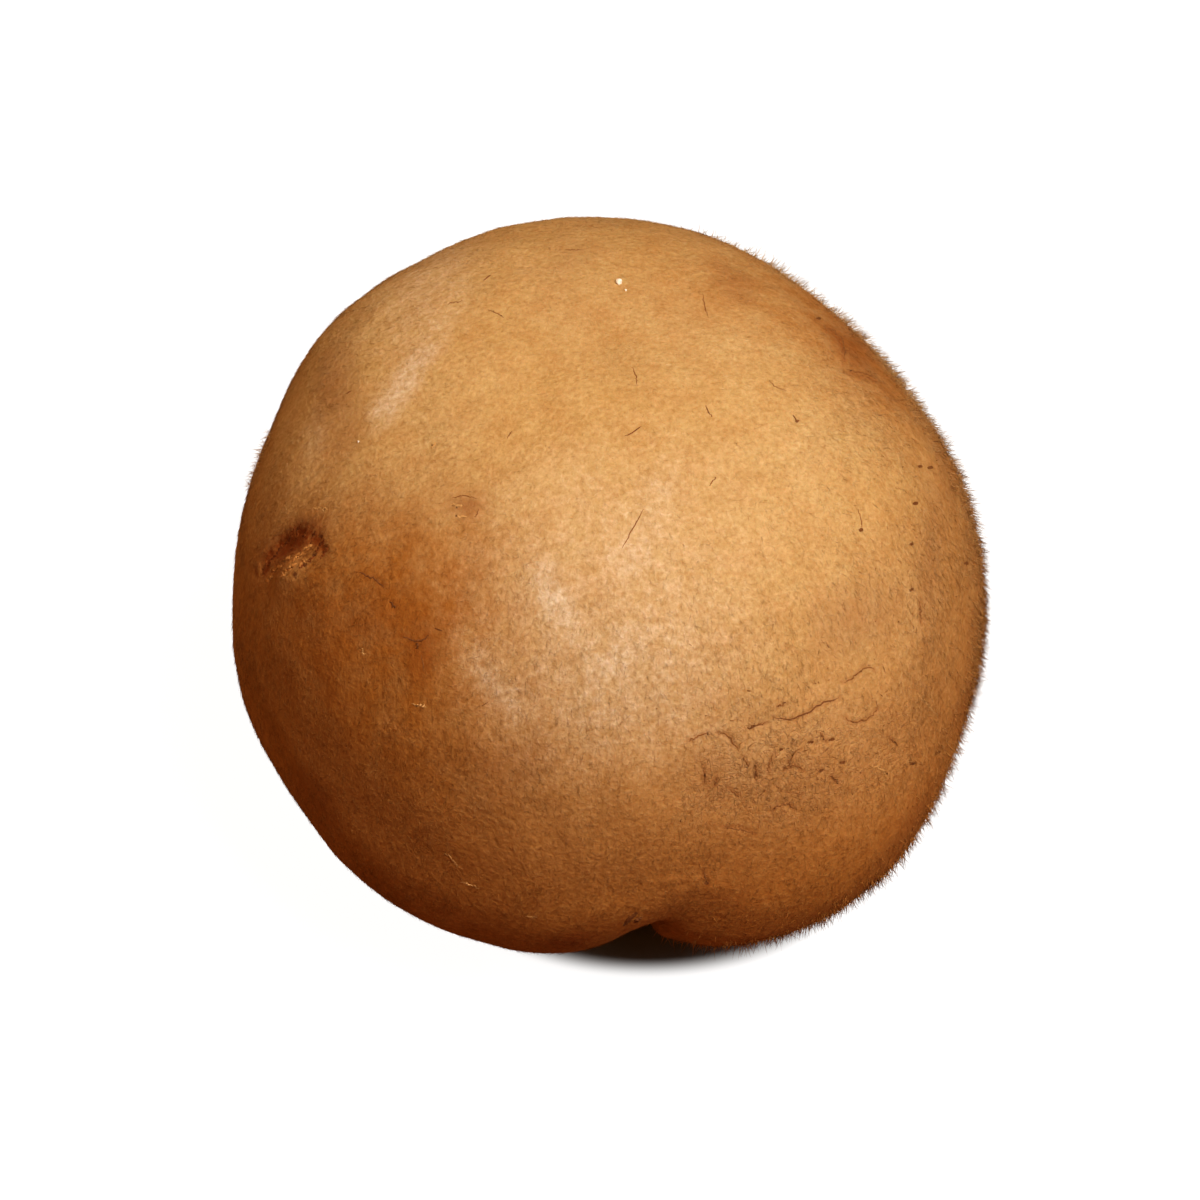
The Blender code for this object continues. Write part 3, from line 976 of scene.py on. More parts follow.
def crack_relief(x, y, seen):
    """The grooves of the cracks with a lip below each, and how much each place is in a groove or a pit,
    which the colour darkens as painted shade.
    """
    relief = np.zeros_like(x)
    inside = np.zeros_like(x)
    for line in CRACKS + DARK_CRACKS:
        away, below = pixels_from_line(x, y, line)
        groove = np.exp(-((away / CRACK_PIXELS) ** 2))
        lip = np.exp(-(((below - CRACK_LIP_PIXELS) / CRACK_LIP_SPREAD) ** 2))
        lip = lip * np.exp(-((away / CRACK_LIP_END) ** 4))
        relief += CRACK_LIP * lip - CRACK_DEPTH * groove
        inside = np.maximum(inside, np.exp(-((away / CRACK_TINT_PIXELS) ** 2)))
    for middle_x, middle_y, size in PITS:
        pit = np.exp(-(((x - middle_x) ** 2 + (y - middle_y) ** 2) / size**2))
        relief -= PIT_DEPTH * pit
        inside = np.maximum(inside, pit)
    return relief * seen, inside * seen


def mesh_object(name, points, faces, material):
    """An object from arrays of points and of faces, all with the same number of corners."""
    mesh = bpy.data.meshes.new(name)
    faces = np.asarray(faces, dtype=np.int32)
    corners = faces.shape[1]
    mesh.vertices.add(len(points))
    mesh.vertices.foreach_set("co", np.asarray(points, dtype=np.float32).ravel())
    mesh.loops.add(faces.size)
    mesh.loops.foreach_set("vertex_index", faces.ravel())
    mesh.polygons.add(len(faces))
    mesh.polygons.foreach_set("loop_start", np.arange(0, faces.size, corners, dtype=np.int32))
    mesh.update(calc_edges=True)
    mesh.validate()
    mesh.shade_smooth()
    mesh.materials.append(material)
    piece = bpy.data.objects.new(name, mesh)
    bpy.context.scene.collection.objects.link(piece)
    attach(piece, "root")
    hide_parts(NODE)
    return piece


def ring_faces(rows, columns):
    """Triangles of a closed body of rings, with a point before the first ring and one after the last."""
    here = np.arange(columns)
    after = (here + 1) % columns
    last = rows * columns + 1
    top = np.column_stack((np.zeros(columns, dtype=int), 1 + here, 1 + after))
    start = 1 + (rows - 1) * columns
    bottom = np.column_stack((start + here, np.full(columns, last), start + after))
    bands = []
    for row in range(rows - 1):
        upper, lower = 1 + row * columns, 1 + (row + 1) * columns
        bands.append(np.column_stack((upper + here, lower + here, lower + after)))
        bands.append(np.column_stack((upper + here, lower + after, upper + after)))
    return np.vstack((top, *bands, bottom))


def set_attributes(piece, values):
    """Stores arrays on the piece's points: one number each, or three."""
    for name, value in values.items():
        kind = "FLOAT" if value.ndim == 1 else "FLOAT_VECTOR"
        field = "value" if value.ndim == 1 else "vector"
        attribute = piece.data.attributes.new(name, kind, "POINT")
        attribute.data.foreach_set(field, np.asarray(value, dtype=np.float32).ravel())


def with_ends(grid, first, last):
    """The grid's values as one list, with a value before and one after."""
    flat = grid.reshape(-1, *grid.shape[2:])
    return np.concatenate((np.asarray(first)[None], flat, np.asarray(last)[None]))


# The cap


def cap_azimuths():
    """The azimuths of the cap's columns, once round from behind the cleft."""
    start = CLEFT_AZIMUTH - math.pi
    return crowded(start, start + 2.0 * math.pi, CAP_COLUMNS + 1, COLUMN_CROWDS)[:-1]


def skin_edge(azimuth):
    """How far down the side the brown skin reaches: a ragged line inside the rolled rim."""
    plain = PROFILE.find_rim_radius(SKIN_EDGE_RADIUS)
    circle = np.column_stack((np.cos(azimuth), np.sin(azimuth), np.zeros_like(azimuth)))
    rag = sum(rough(circle, *layer) for layer in SKIN_EDGE_RAGS)
    return plain + SKIN_EDGE_RAG * rag


def cap_sheet():
    """The grid of the cap's skin, before its relief."""
    azimuth = cap_azimuths()
    edge = skin_edge(azimuth)
    crack_row = PROFILE.find_height(CRACK_HEIGHT) / edge.mean()
    spread = ROW_CROWD_SPREAD / edge.mean()
    share = crowded(0.0, 1.0, CAP_ROWS + 1, ((crack_row, spread, ROW_CROWD_TIMES),))[1:]
    return Sheet(share[:, None] * edge[None, :], azimuth)


def skin_fields(sheet):
    """Values over the cap's skin that its relief and colours share."""
    x, y = photo_pixels(sheet.points)
    seen = smooth_step(sheet.normals @ BACK, SEEN_FACING)
    turn = sheet.azimuth + rough(sheet.points, *GRAIN_WARP)
    grain = np.stack((np.cos(turn), np.sin(turn), sheet.along * MILLIMETRES), axis=-1)
    return x, y, seen, grain


def streak_space(sheet, grain):
    """Points for noise that is drawn out down the cap's side."""
    turn = np.arctan2(grain[..., 1], grain[..., 0])
    across = (np.cos(turn) * STREAK_RADIUS, np.sin(turn) * STREAK_RADIUS)
    return np.stack((*across, sheet.along * STREAK_STRETCH), axis=-1)


def dent_edge(points, x, y, seen):
    """How torn the skin is along the dent's upper edge."""
    away, _ = pixels_from_line(x, y, DENT_EDGE)
    torn = np.exp(-((away / DENT_EDGE_PIXELS) ** 2)) * seen
    return torn * uneven(points, *DENT_EDGE_TEARS)


def crease_relief(x, y, seen):
    """The fine light creases by the cleft."""
    relief = np.zeros_like(x)
    for line in CREASES:
        away, _ = pixels_from_line(x, y, line)
        relief += CREASE_RISE * np.exp(-((away / CREASE_PIXELS) ** 2)) * seen
    return relief


def dress_cap(sheet):
    """Adds the cap's relief, and returns the attributes that its colours use."""
    x, y, seen, grain = skin_fields(sheet)
    down = sheet.along / sheet.along.max()
    grooves, inside = crack_relief(x, y, seen)
    flaked = spots(x, y, seen, FLAKED_SPOTS) + patches(sheet.points, *BACK_FLAKED) * (1.0 - seen)
    flaked = np.clip(flaked, 0.0, 1.0)

    drawn_out = streak_space(sheet, grain)
    lumps = rough(sheet.points, *BROAD_LUMPS) + rough(sheet.points, *FINE_LUMPS)
    streaks = rough(drawn_out, *STREAK_RELIEF) * smooth_step(sheet.along, STREAK_FROM)
    crazed = flaked * rough(sheet.points * CRAZED_STRETCH, *CRAZED_RELIEF)
    puckers = smooth_step(down, PUCKER_FROM) * rough(drawn_out * PUCKER_STRETCH, *PUCKER_RELIEF)
    torn = dent_edge(sheet.points, x, y, seen)
    creased = crease_relief(x, y, seen)
    dented = DENT_BUMP_RISE * spots(x, y, seen, DENT_BUMPS) - DENT_EDGE_DEPTH * torn
    sheet.raise_by(lumps + streaks + crazed + puckers + grooves + creased + dented)

    # Pale bloom, partly painted sheen highlights, where the skin faces the camera, and bloom high on the
    # back
    high = smooth_step(sheet.points[..., 2], BACK_BLOOM_FROM)
    bloom_and_sheen = spots(x, y, seen, BLOOM_AND_SHEEN_SPOTS) + patches(sheet.points, *BACK_BLOOM) * (1.0 - seen) * high
    # Rust stains and the torn dent edge, partly painted shade
    stain_and_shade = np.maximum(spots(x, y, seen, STAIN_AND_SHADE_SPOTS), torn)
    stain_and_shade = stain_and_shade + LOOSE_STAIN_SHARE * patches(sheet.points, *LOOSE_STAIN)
    # Painted shade from the spots where the skin faces the camera, and browner patches of the skin on the
    # back
    browned_back = patches(sheet.points, *BACK_BROWN) * (1.0 - seen)
    painted_shade_and_browning = spots(x, y, seen, PAINTED_SHADE_SPOTS) + BACK_BROWN_SHARE * browned_back
    return {
        "grain": grain,
        "down": down,
        "bloom_and_sheen": np.clip(bloom_and_sheen, 0.0, 1.0),
        "stain_and_shade": np.clip(stain_and_shade, 0.0, 1.0),
        "painted_shade_and_browning": np.clip(painted_shade_and_browning, 0.0, 1.0),
        "groove": inside,
        "flaked": flaked,
        "tone": np.full(x.shape, EVEN_TONE),
    }


def cap_piece(sheet, attributes, material):
    """The cap as one closed body: the skin, its cut edge, and a hidden floor inside the flesh."""
    rim = sheet.points[-1]
    turned_in = rim - sheet.normals[-1] * SKIN_TURN_IN
    sweep = np.column_stack((np.cos(sheet.azimuth[-1]), np.sin(sheet.azimuth[-1])))
    floor = np.column_stack((sweep * CLOSING_RADIUS, np.full(len(sweep), CLOSING_HEIGHT)))
    rings = np.concatenate((sheet.points, turned_in[None], floor[None]))
    apex = sheet.points[0].mean(axis=0)
    points = with_ends(rings, apex, (0.0, 0.0, CLOSING_HEIGHT))
    piece = mesh_object("cap", points, ring_faces(len(rings), CAP_COLUMNS), material)
    stored = {}
    for name, value in attributes.items():
        value = np.concatenate((value, value[-1:], value[-1:]))
        stored[name] = with_ends(value, value[0].mean(axis=0), value[-1].mean(axis=0))
    set_attributes(piece, stored)
    return piece


# The veil and the stem


def flesh_sheet(azimuth):
    """The grid of the veil and the stem with its relief, and how far each point is above the cut."""
    edge = skin_edge(azimuth)
    along = np.linspace(edge.min() - FLESH_OVERLAP, PROFILE.length, FLESH_ROWS)
    along = np.broadcast_to(along[:, None], (FLESH_ROWS, FLESH_COLUMNS))
    sheet = Sheet(along, azimuth)
    under_skin = 1.0 - smooth_step(along - edge[None, :], UNDER_SKIN)
    height = sheet.points[..., 2]
    on_stem = 1.0 - smooth_step(height, STEM_BELOW)
    above_cut = smooth_step(height, CUT_BELOW)
    circle = np.stack((np.cos(sheet.azimuth), np.sin(sheet.azimuth), along * FLESH_STRETCH), axis=-1)
    folds = rough(circle, *FOLD_RELIEF) * (1.0 - on_stem)
    ribs = rough(circle * RIB_STRETCH, *RIB_RELIEF) * on_stem
    cotton = rough(sheet.points, *FINE_COTTON) + rough(sheet.points, *BROAD_COTTON)
    sunk = SKIN_THICKNESS + FLESH_SINK * np.maximum(edge[None, :] - along, 0.0)
    sheet.raise_by((folds + ribs + cotton) * above_cut * (1.0 - under_skin) - sunk * under_skin)
    sheet.points[..., 2] = np.maximum(sheet.points[..., 2], 0.0)
    return sheet, above_cut


def cut_disc(rim, shares):
    """Rings of the stem's cut, each a share of its rim, a little hollow and uneven."""
    rise, size, seed = CUT_RELIEF
    disc = rim[None] * shares[:, None, None]
    disc[..., 2] = 0.0
    hollow = rise * (1.0 + ripple(disc, size, seed)) * smooth_step(1.0 - shares, CUT_HOLLOW_FROM)[:, None]
    disc[..., 2] += np.maximum(hollow, 0.0)
    return disc


def flesh_piece(material):
    """The veil, the stem and its cut as one closed body, whose upper edge is hidden in the cap."""
    azimuth = np.linspace(-math.pi, math.pi, FLESH_COLUMNS, endpoint=False)
    sheet, above_cut = flesh_sheet(azimuth)
    sweep = np.column_stack((np.cos(azimuth), np.sin(azimuth)))
    roof_height = CLOSING_HEIGHT + CLOSING_GAP
    roof = np.column_stack((sweep * (CLOSING_RADIUS - CLOSING_GAP), np.full(FLESH_COLUMNS, roof_height)))
    shares = np.linspace(1.0, 0.0, CUT_ROWS + 1)[1:-1]
    rings = np.concatenate((roof[None], sheet.points, cut_disc(sheet.points[-1], shares)))
    points = with_ends(rings, (0.0, 0.0, roof_height), (0.0, 0.0, CUT_MIDDLE))
    piece = mesh_object("veil_and_stem", points, ring_faces(len(rings), FLESH_COLUMNS), material)

    on_cut = 1 + FLESH_ROWS
    grain = np.column_stack((sweep, np.zeros(FLESH_COLUMNS)))
    grain = np.broadcast_to(grain[None], rings.shape).copy()
    grain[1:on_cut, :, 2] = sheet.along * MILLIMETRES
    grain[on_cut:, :, 2] = PROFILE.length * MILLIMETRES
    least, swing, middle = CUT_BRUISE
    bruise = np.zeros(rings.shape[:2])
    bruise[1:on_cut] = 1.0 - above_cut
    bruise[on_cut:] = (least + swing * smooth_step(shares, CUT_BRUISE_FROM))[:, None]
    ends = {"grain": (grain[0, 0], grain[-1, 0]), "bruise": (0.0, middle)}
    values = {"grain": grain, "bruise": bruise}
    set_attributes(piece, {name: with_ends(values[name], *ends[name]) for name in values})
    return piece


# Hairs, threads, flecks and crumbs

# The triangles of one hair: its root, its three sides and its tip. A bent one has a middle as well
STRAIGHT_HAIR = ((0, 2, 1), (0, 1, 3), (1, 2, 3), (2, 0, 3))
BENT_HAIR = (
    (0, 2, 1),
    (0, 1, 4),
    (0, 4, 3),
    (1, 2, 5),
    (1, 5, 4),
    (2, 0, 3),
    (2, 3, 5),
    (3, 4, 6),
    (4, 5, 6),
    (5, 3, 6),
)
HAIR_ROOT = (-0.12, 1.0)
HAIR_MIDDLE = (0.5, 0.8)


def strands(name, roots, normals, downs, attributes, material, shape):
    """Short tapered three-sided hairs, rooted in the skin, as one mesh."""
    stations = (HAIR_ROOT, HAIR_MIDDLE) if shape.get("bent") else (HAIR_ROOT,)
    hair = BENT_HAIR if shape.get("bent") else STRAIGHT_HAIR
    draw = np.random.default_rng(shape["seed"])
    count = len(roots)
    length = draw.uniform(*shape["length"], size=count) * shape.get("scale", np.ones(count))
    lift = draw.uniform(*shape["lift"], size=count)
    yaw = draw.normal(0.0, 1.0, size=count) * shape["yaw"]
    width = shape["width"] * draw.uniform(*HAIR_THICKNESS, size=count)
    curl = draw.normal(0.0, HAIR_CURL, size=count)
    droop = draw.uniform(*HAIR_DROOP, size=count)

    flat = unit(downs - np.sum(downs * normals, axis=1, keepdims=True) * normals)
    side = np.cross(normals, flat)
    heading = flat * np.cos(yaw)[:, None] + side * np.sin(yaw)[:, None]
    run = heading * np.cos(lift)[:, None] + normals * np.sin(lift)[:, None]
    length = kept_in_box(roots, run, length)
    across = unit(np.cross(normals, run))
    over = np.cross(run, across)

    rings = []
    for share, thick in stations:
        sag = normals * (droop * share**2)[:, None] * DROOP_SHARE
        bend = across * (curl * share**2)[:, None] - sag
        middle = roots + (run * share + bend) * length[:, None]
        for corner in range(3):
            angle = 2.0 * math.pi * corner / 3.0
            spoke = across * math.cos(angle) + over * math.sin(angle)
            rings.append(middle + spoke * (width * thick)[:, None])
    bend = across * curl[:, None] - normals * droop[:, None] * DROOP_SHARE
    rings.append(roots + (run + bend) * length[:, None])
    points = np.stack(rings, axis=1).reshape(-1, 3)

    per_hair = points.shape[0] // count
    faces = (np.asarray(hair)[None] + per_hair * np.arange(count)[:, None, None]).reshape(-1, 3)
    piece = mesh_object(name, points, faces, material)
    stored = {key: np.repeat(value, per_hair, axis=0) for key, value in attributes.items()}
    tone = draw.uniform(*shape.get("tone", (0.0, 1.0)), size=count)
    stored["tone"] = np.repeat(tone, per_hair)
    set_attributes(piece, stored)
    return piece


def kept_in_box(roots, run, length):
    """The lengths, made shorter where a hair would stand far out of the solid's box."""
    low, high = (np.array(corner) for corner in CAD_BOX)
    for axis in (0, 1):
        to_high = high[axis] + HAIR_PROUD - roots[:, axis]
        to_low = roots[:, axis] - low[axis] + HAIR_PROUD
        room = np.where(run[:, axis] > 0.0, to_high, to_low)
        length = np.minimum(length, room / np.maximum(np.abs(run[:, axis]), 1e-6))
    return length


def scattered(sheet, count, density, seed):
    """Random places on the sheet: their rows and columns as decimals, more where density is high."""
    points = sheet.points
    along = np.linalg.norm(np.diff(points, axis=0), axis=-1)
    around = np.linalg.norm(np.roll(points, -1, axis=1) - points, axis=-1)[:-1]
    weight = (along * around * density[:-1]).ravel()
    draw = np.random.default_rng(seed)
    cell = draw.choice(weight.size, size=count, p=weight / weight.sum())
    row, column = np.divmod(cell, points.shape[1])
    return row + draw.uniform(size=count), column + draw.uniform(size=count)


def sampled(grid, row, column):
    """The grid's values between its points, at decimal rows and columns."""
    upper, left = np.floor(row).astype(int), np.floor(column).astype(int)
    right = (left + 1) % grid.shape[1]
    down, across = row - upper, column - left
    if grid.ndim == 3:
        down, across = down[:, None], across[:, None]
    left = left % grid.shape[1]
    top = grid[upper, left] * (1.0 - across) + grid[upper, right] * across
    bottom = grid[upper + 1, left] * (1.0 - across) + grid[upper + 1, right] * across
    return top * (1.0 - down) + bottom * down


def rooted(name, sheet, places, shape, material, attributes=None):
    """Hairs rooted on the sheet at rows and columns, with the skin's values there."""
    values = {key: sampled(value, *places) for key, value in (attributes or {}).items()}
    points, normals, downs = (sampled(grid, *places) for grid in (sheet.points, sheet.normals, sheet.down))
    return strands(name, points, unit(normals), unit(downs), values, material, shape)


def felt_pieces(sheet, attributes, material):
    """The felt of short hairs, in three pieces round the cap."""
    low = smooth_step(sheet.along, FELT_LOW_FROM)
    patchy = uneven(sheet.points, *FELT_CLUMPS)
    cover = FELT_TOP_SHARE + (1.0 - FELT_TOP_SHARE) * low
    for name, middle, seed in FELT_SIDES:
        away = np.abs(np.angle(np.exp(1j * (sheet.azimuth - math.radians(middle)))))
        places = scattered(sheet, FELT_COUNT, cover * patchy * (away < FELT_HALF_SIDE), seed)
        level = sampled(low, *places)
        yaw = HAIR_YAW * (FELT_TOP_YAW + (1.0 - FELT_TOP_YAW) * level)
        scale = FELT_TOP_SCALE + (1.0 - FELT_TOP_SCALE) * level
        shape = dict(FELT, seed=seed + FELT_SEED_STEP, yaw=yaw, scale=scale)
        rooted(name, sheet, places, shape, material, attributes)


def fringe_piece(sheet, attributes, material):
    """Longer, more upright hairs on the cap's side, most of them on the right."""
    away = np.abs(np.angle(np.exp(1j * (sheet.azimuth - FRINGE_MIDDLE))))
    side = 1.0 - smooth_step(away, FRINGE_SIDE)
    band = smooth_step(sheet.along, FRINGE_UPPER) * (1.0 - smooth_step(sheet.along, FRINGE_LOWER))
    edge = FRINGE_ELSEWHERE + np.exp(-(((sheet.normals @ BACK) / FRINGE_EDGE) ** 2))
    clumps = uneven(sheet.points, *FRINGE_CLUMPS)
    places = scattered(sheet, FRINGE_COUNT, band * side * edge * clumps, FRINGE_SEED)
    rooted("fringe", sheet, places, FRINGE, material, attributes)


class Caster:
    """Finds the place on the cap under a pixel of the photograph."""

    def __init__(self, piece):
        tree_points = [vertex.co for vertex in piece.data.vertices]
        faces = [tuple(polygon.vertices) for polygon in piece.data.polygons]
        self.tree = BVHTree.FromPolygons(tree_points, faces)

    def cast(self, x, y):
        """The place and the normal under a pixel, or nothing where the cap isn't."""
        across = (x - TARGET_PIXEL[0]) * PHOTO_PIXEL
        up = (TARGET_PIXEL[1] - y) * PHOTO_PIXEL
        aim = CAMERA_TARGET + RIGHT * across + UP * up - CAMERA_SPOT
        return self.tree.ray_cast(Vector(CAMERA_SPOT), Vector(aim).normalized())[:2]

    def left_edge(self, y):
        """The first pixel from the left, on a row of the photograph, that shows the cap."""
        x = EDGE_SEARCH_START
        while self.cast(x, y)[0] is None:
            x += EDGE_SEARCH_STEP
        return x

    def at(self, x, y):
        """The place and the outward normal under a pixel, or under the nearest one towards the middle."""
        place, normal = self.cast(x, y)
        while place is None:
            x += (TARGET_PIXEL[0] - x) * INWARD_SHARE
            y += (TARGET_PIXEL[1] - y) * INWARD_SHARE
            place, normal = self.cast(x, y)
        return np.array(place), np.array(normal)


def smooth_line(line, count):
    """Points spread evenly along a line of pixels, rounded where it bends."""
    line = np.asarray(line, dtype=float)
    if len(line) > 2:
        line = rounded(line)
    along = np.concatenate(((0.0,), np.cumsum(np.hypot(*np.diff(line, axis=0).T))))
    wanted = np.linspace(0.0, along[-1], count)
    return np.column_stack([np.interp(wanted, along, line[:, axis]) for axis in (0, 1)])


def worm(places, normals, width, height, sink):
    """Points and faces of a thin tapered body laid along places on the skin."""
    count = len(places)
    run = unit(np.gradient(places, axis=0))
    across = unit(np.cross(normals, run))
    share = np.linspace(0.0, 1.0, count)
    swell = np.sqrt(np.clip(1.0 - (2.0 * share - 1.0) ** 2, WORM_THINNEST, 1.0))
    rings = []
    for corner in range(WORM_SIDES):
        angle = 2.0 * math.pi * corner / WORM_SIDES
        spoke = across * (math.cos(angle) * width) + normals * (math.sin(angle) * height)
        rings.append(places - normals * sink + spoke * swell[:, None])
    grid = np.stack(rings, axis=1)
    return with_ends(grid, grid[0].mean(axis=0), grid[-1].mean(axis=0)), ring_faces(count, WORM_SIDES)


def joined(name, parts, material):
    """One mesh object from several bodies' points and faces."""
    starts = np.cumsum([0] + [len(points) for points, _ in parts])
    faces = [part_faces + start for (_, part_faces), start in zip(parts, starts)]
    return mesh_object(name, np.vstack([points for points, _ in parts]), np.vstack(faces), material)


def laid_lines(name, caster, lines, width, height, sink, material, wander):
    """Thin bodies laid on the skin along lines of pixels, which may wander a little."""
    draw = np.random.default_rng(len(lines))
    parts = []
    for line in lines:
        pixels = smooth_line(line, LINE_STEPS)
        pixels[1:-1] += draw.normal(0.0, 1.0, size=(LINE_STEPS - 2, 2)) * wander
        places, normals = (np.array(found) for found in zip(*[caster.at(x, y) for x, y in pixels]))
        parts.append(worm(places, unit(normals), width, height, sink))
    return joined(name, parts, material)


def crumb_piece(caster, material):
    """White crumbs on the skin, as small lumpy balls."""
    tilt = np.linspace(0.0, math.pi, CRUMB_ROWS + 2)[1:-1, None]
    turn = np.linspace(0.0, 2.0 * math.pi, CRUMB_COLUMNS, endpoint=False)[None]
    ball = (np.sin(tilt) * np.cos(turn), np.sin(tilt) * np.sin(turn), np.cos(tilt) * np.ones_like(turn))
    points = with_ends(np.stack(ball, axis=-1), (0.0, 0.0, 1.0), (0.0, 0.0, -1.0))
    rise, size, seed = CRUMB_LUMPS
    parts = []
    for number, (x, y, radius) in enumerate(CRUMBS):
        place, normal = caster.at(x, y)
        lumpy = points * (1.0 + rise * ripple(points, size, seed + number))[:, None]
        places = place + normal * radius * CRUMB_LIFT + lumpy * radius
        parts.append((places, ring_faces(CRUMB_ROWS, CRUMB_COLUMNS)))
    return joined("crumbs", parts, material)


def loose_threads(sheet, material):
    """Brown threads strewn over the skin, more of them towards the rim."""
    density = LOOSE_TOP_SHARE + smooth_step(sheet.along, LOOSE_LOW_FROM)
    rooted("loose_threads", sheet, scattered(sheet, LOOSE_COUNT, density, LOOSE_SEED), LOOSE, material)


def flakes_piece(sheet, flaked, material):
    """Small flakes strewn where the skin is crazed."""
    places = scattered(sheet, FLAKE_COUNT, flaked**FLAKE_SPREAD, FLAKE_SEED)
    rooted("flakes", sheet, places, FLAKE, material)


def edge_hairs(caster, material):
    """Pale hairs that stand out from the cap's left edge."""
    draw = np.random.default_rng(EDGE_HAIR_SEED)
    rows = draw.uniform(*EDGE_HAIR_ROWS, size=EDGE_HAIR_COUNT)
    inward = draw.uniform(*EDGE_HAIR_PIXELS, size=EDGE_HAIR_COUNT)
    hits = [caster.at(caster.left_edge(row) + depth, row) for row, depth in zip(rows, inward)]
    places, normals = (np.array(found) for found in zip(*hits))
    downs = np.broadcast_to((0.0, 0.0, -1.0), normals.shape)
    strands("edge_hairs", places, unit(normals), downs, {}, material, EDGE_HAIR)


# Materials


class Nodes:
    """Builds the node tree of a material or of the world."""

    def __init__(self, owner):
        owner.use_nodes = True
        self.owner = owner
        self.tree = owner.node_tree

    def add(self, kind, **settings):
        """A node with its settings."""
        node = self.tree.nodes.new(kind)
        for key, value in settings.items():
            setattr(node, key, value)
        return node

    def feed(self, sockets, *values):
        """Sets sockets to values, or links them to other nodes' outputs."""
        for socket, value in zip(sockets, values):
            if isinstance(value, bpy.types.NodeSocket):
                self.tree.links.new(value, socket)
            else:
                socket.default_value = value

    def shade(self, **values):
        """Feeds the shader's inputs, whose names are written with _ for a space."""
        shader = self.tree.nodes["Principled BSDF"]
        for name, value in values.items():
            self.feed([shader.inputs[name.replace("_", " ")]], value)

    def attribute(self, name, output="Fac"):
        """A value stored on the mesh."""
        return self.add("ShaderNodeAttribute", attribute_name=name).outputs[output]

    def place(self):
        """The point in the object's own space."""
        return self.add("ShaderNodeTexCoord").outputs["Object"]

    def noise(self, vector, size, detail=3.0, roughness=0.6, distortion=0.0):
        """Noise between 0 and 1 whose lumps are about size across in the vector's unit."""
        node = self.add("ShaderNodeTexNoise", noise_dimensions="3D")
        names = ("Vector", "Scale", "Detail", "Roughness", "Distortion")
        self.feed([node.inputs[name] for name in names], vector, 1.0 / size, detail, roughness, distortion)
        return node.outputs["Fac"]

    def span(self, value, low, high, to_low=0.0, to_high=1.0, smooth=False):
        """The value's stretch from low to high, carried to another stretch and held at its ends."""
        node = self.add("ShaderNodeMapRange", clamp=True)
        node.interpolation_type = "SMOOTHSTEP" if smooth else "LINEAR"
        self.feed(node.inputs, value, low, high, to_low, to_high)
        return node.outputs["Result"]

    def math(self, operation, *values):
        """An arithmetic step."""
        node = self.add("ShaderNodeMath", operation=operation)
        self.feed(node.inputs, *values)
        return node.outputs[0]

    def vector(self, operation, *values):
        """An arithmetic step on vectors."""
        node = self.add("ShaderNodeVectorMath", operation=operation)
        self.feed(node.inputs, *values)
        return node.outputs["Value" if operation == "LENGTH" else "Vector"]

    def mix(self, share, first, second):
        """Two colours mixed."""
        node = self.add("ShaderNodeMix", data_type="RGBA")
        self.feed([node.inputs[number] for number in (0, 6, 7)], share, first, second)
        return node.outputs[2]

    def blend(self, share, first, second):
        """Two numbers mixed."""
        node = self.add("ShaderNodeMix", data_type="FLOAT")
        self.feed([node.inputs[number] for number in (0, 2, 3)], share, first, second)
        return node.outputs[0]

    def roughened(self, value, noise, strength):
        """The value broken up by noise: more of it where the noise is high."""
        swing = self.math("MULTIPLY", self.math("SUBTRACT", noise, NOISE_MIDDLE), strength)
        return self.math("MULTIPLY_ADD", value, swing, value)

    def warmly_scaled(self, colour, light):
        """The colour made lighter or darker, and the darker the warmer."""
        powers = self.add("ShaderNodeCombineXYZ")
        self.feed(powers.inputs, *[self.math("POWER", light, power) for power in WARMTH])
        return self.vector("MULTIPLY", colour, powers.outputs[0])

    def bumps(self, *layers):
        """The normal bumped by one height after another, each with its distance and strength."""
        normal = None
        for height, distance, strength in layers:
            node = self.add("ShaderNodeBump")
            names = ("Height", "Distance", "Strength")
            self.feed([node.inputs[name] for name in names], height, distance, strength)
            if normal is not None:
                self.feed([node.inputs["Normal"]], normal)
            normal = node.outputs["Normal"]
        return normal


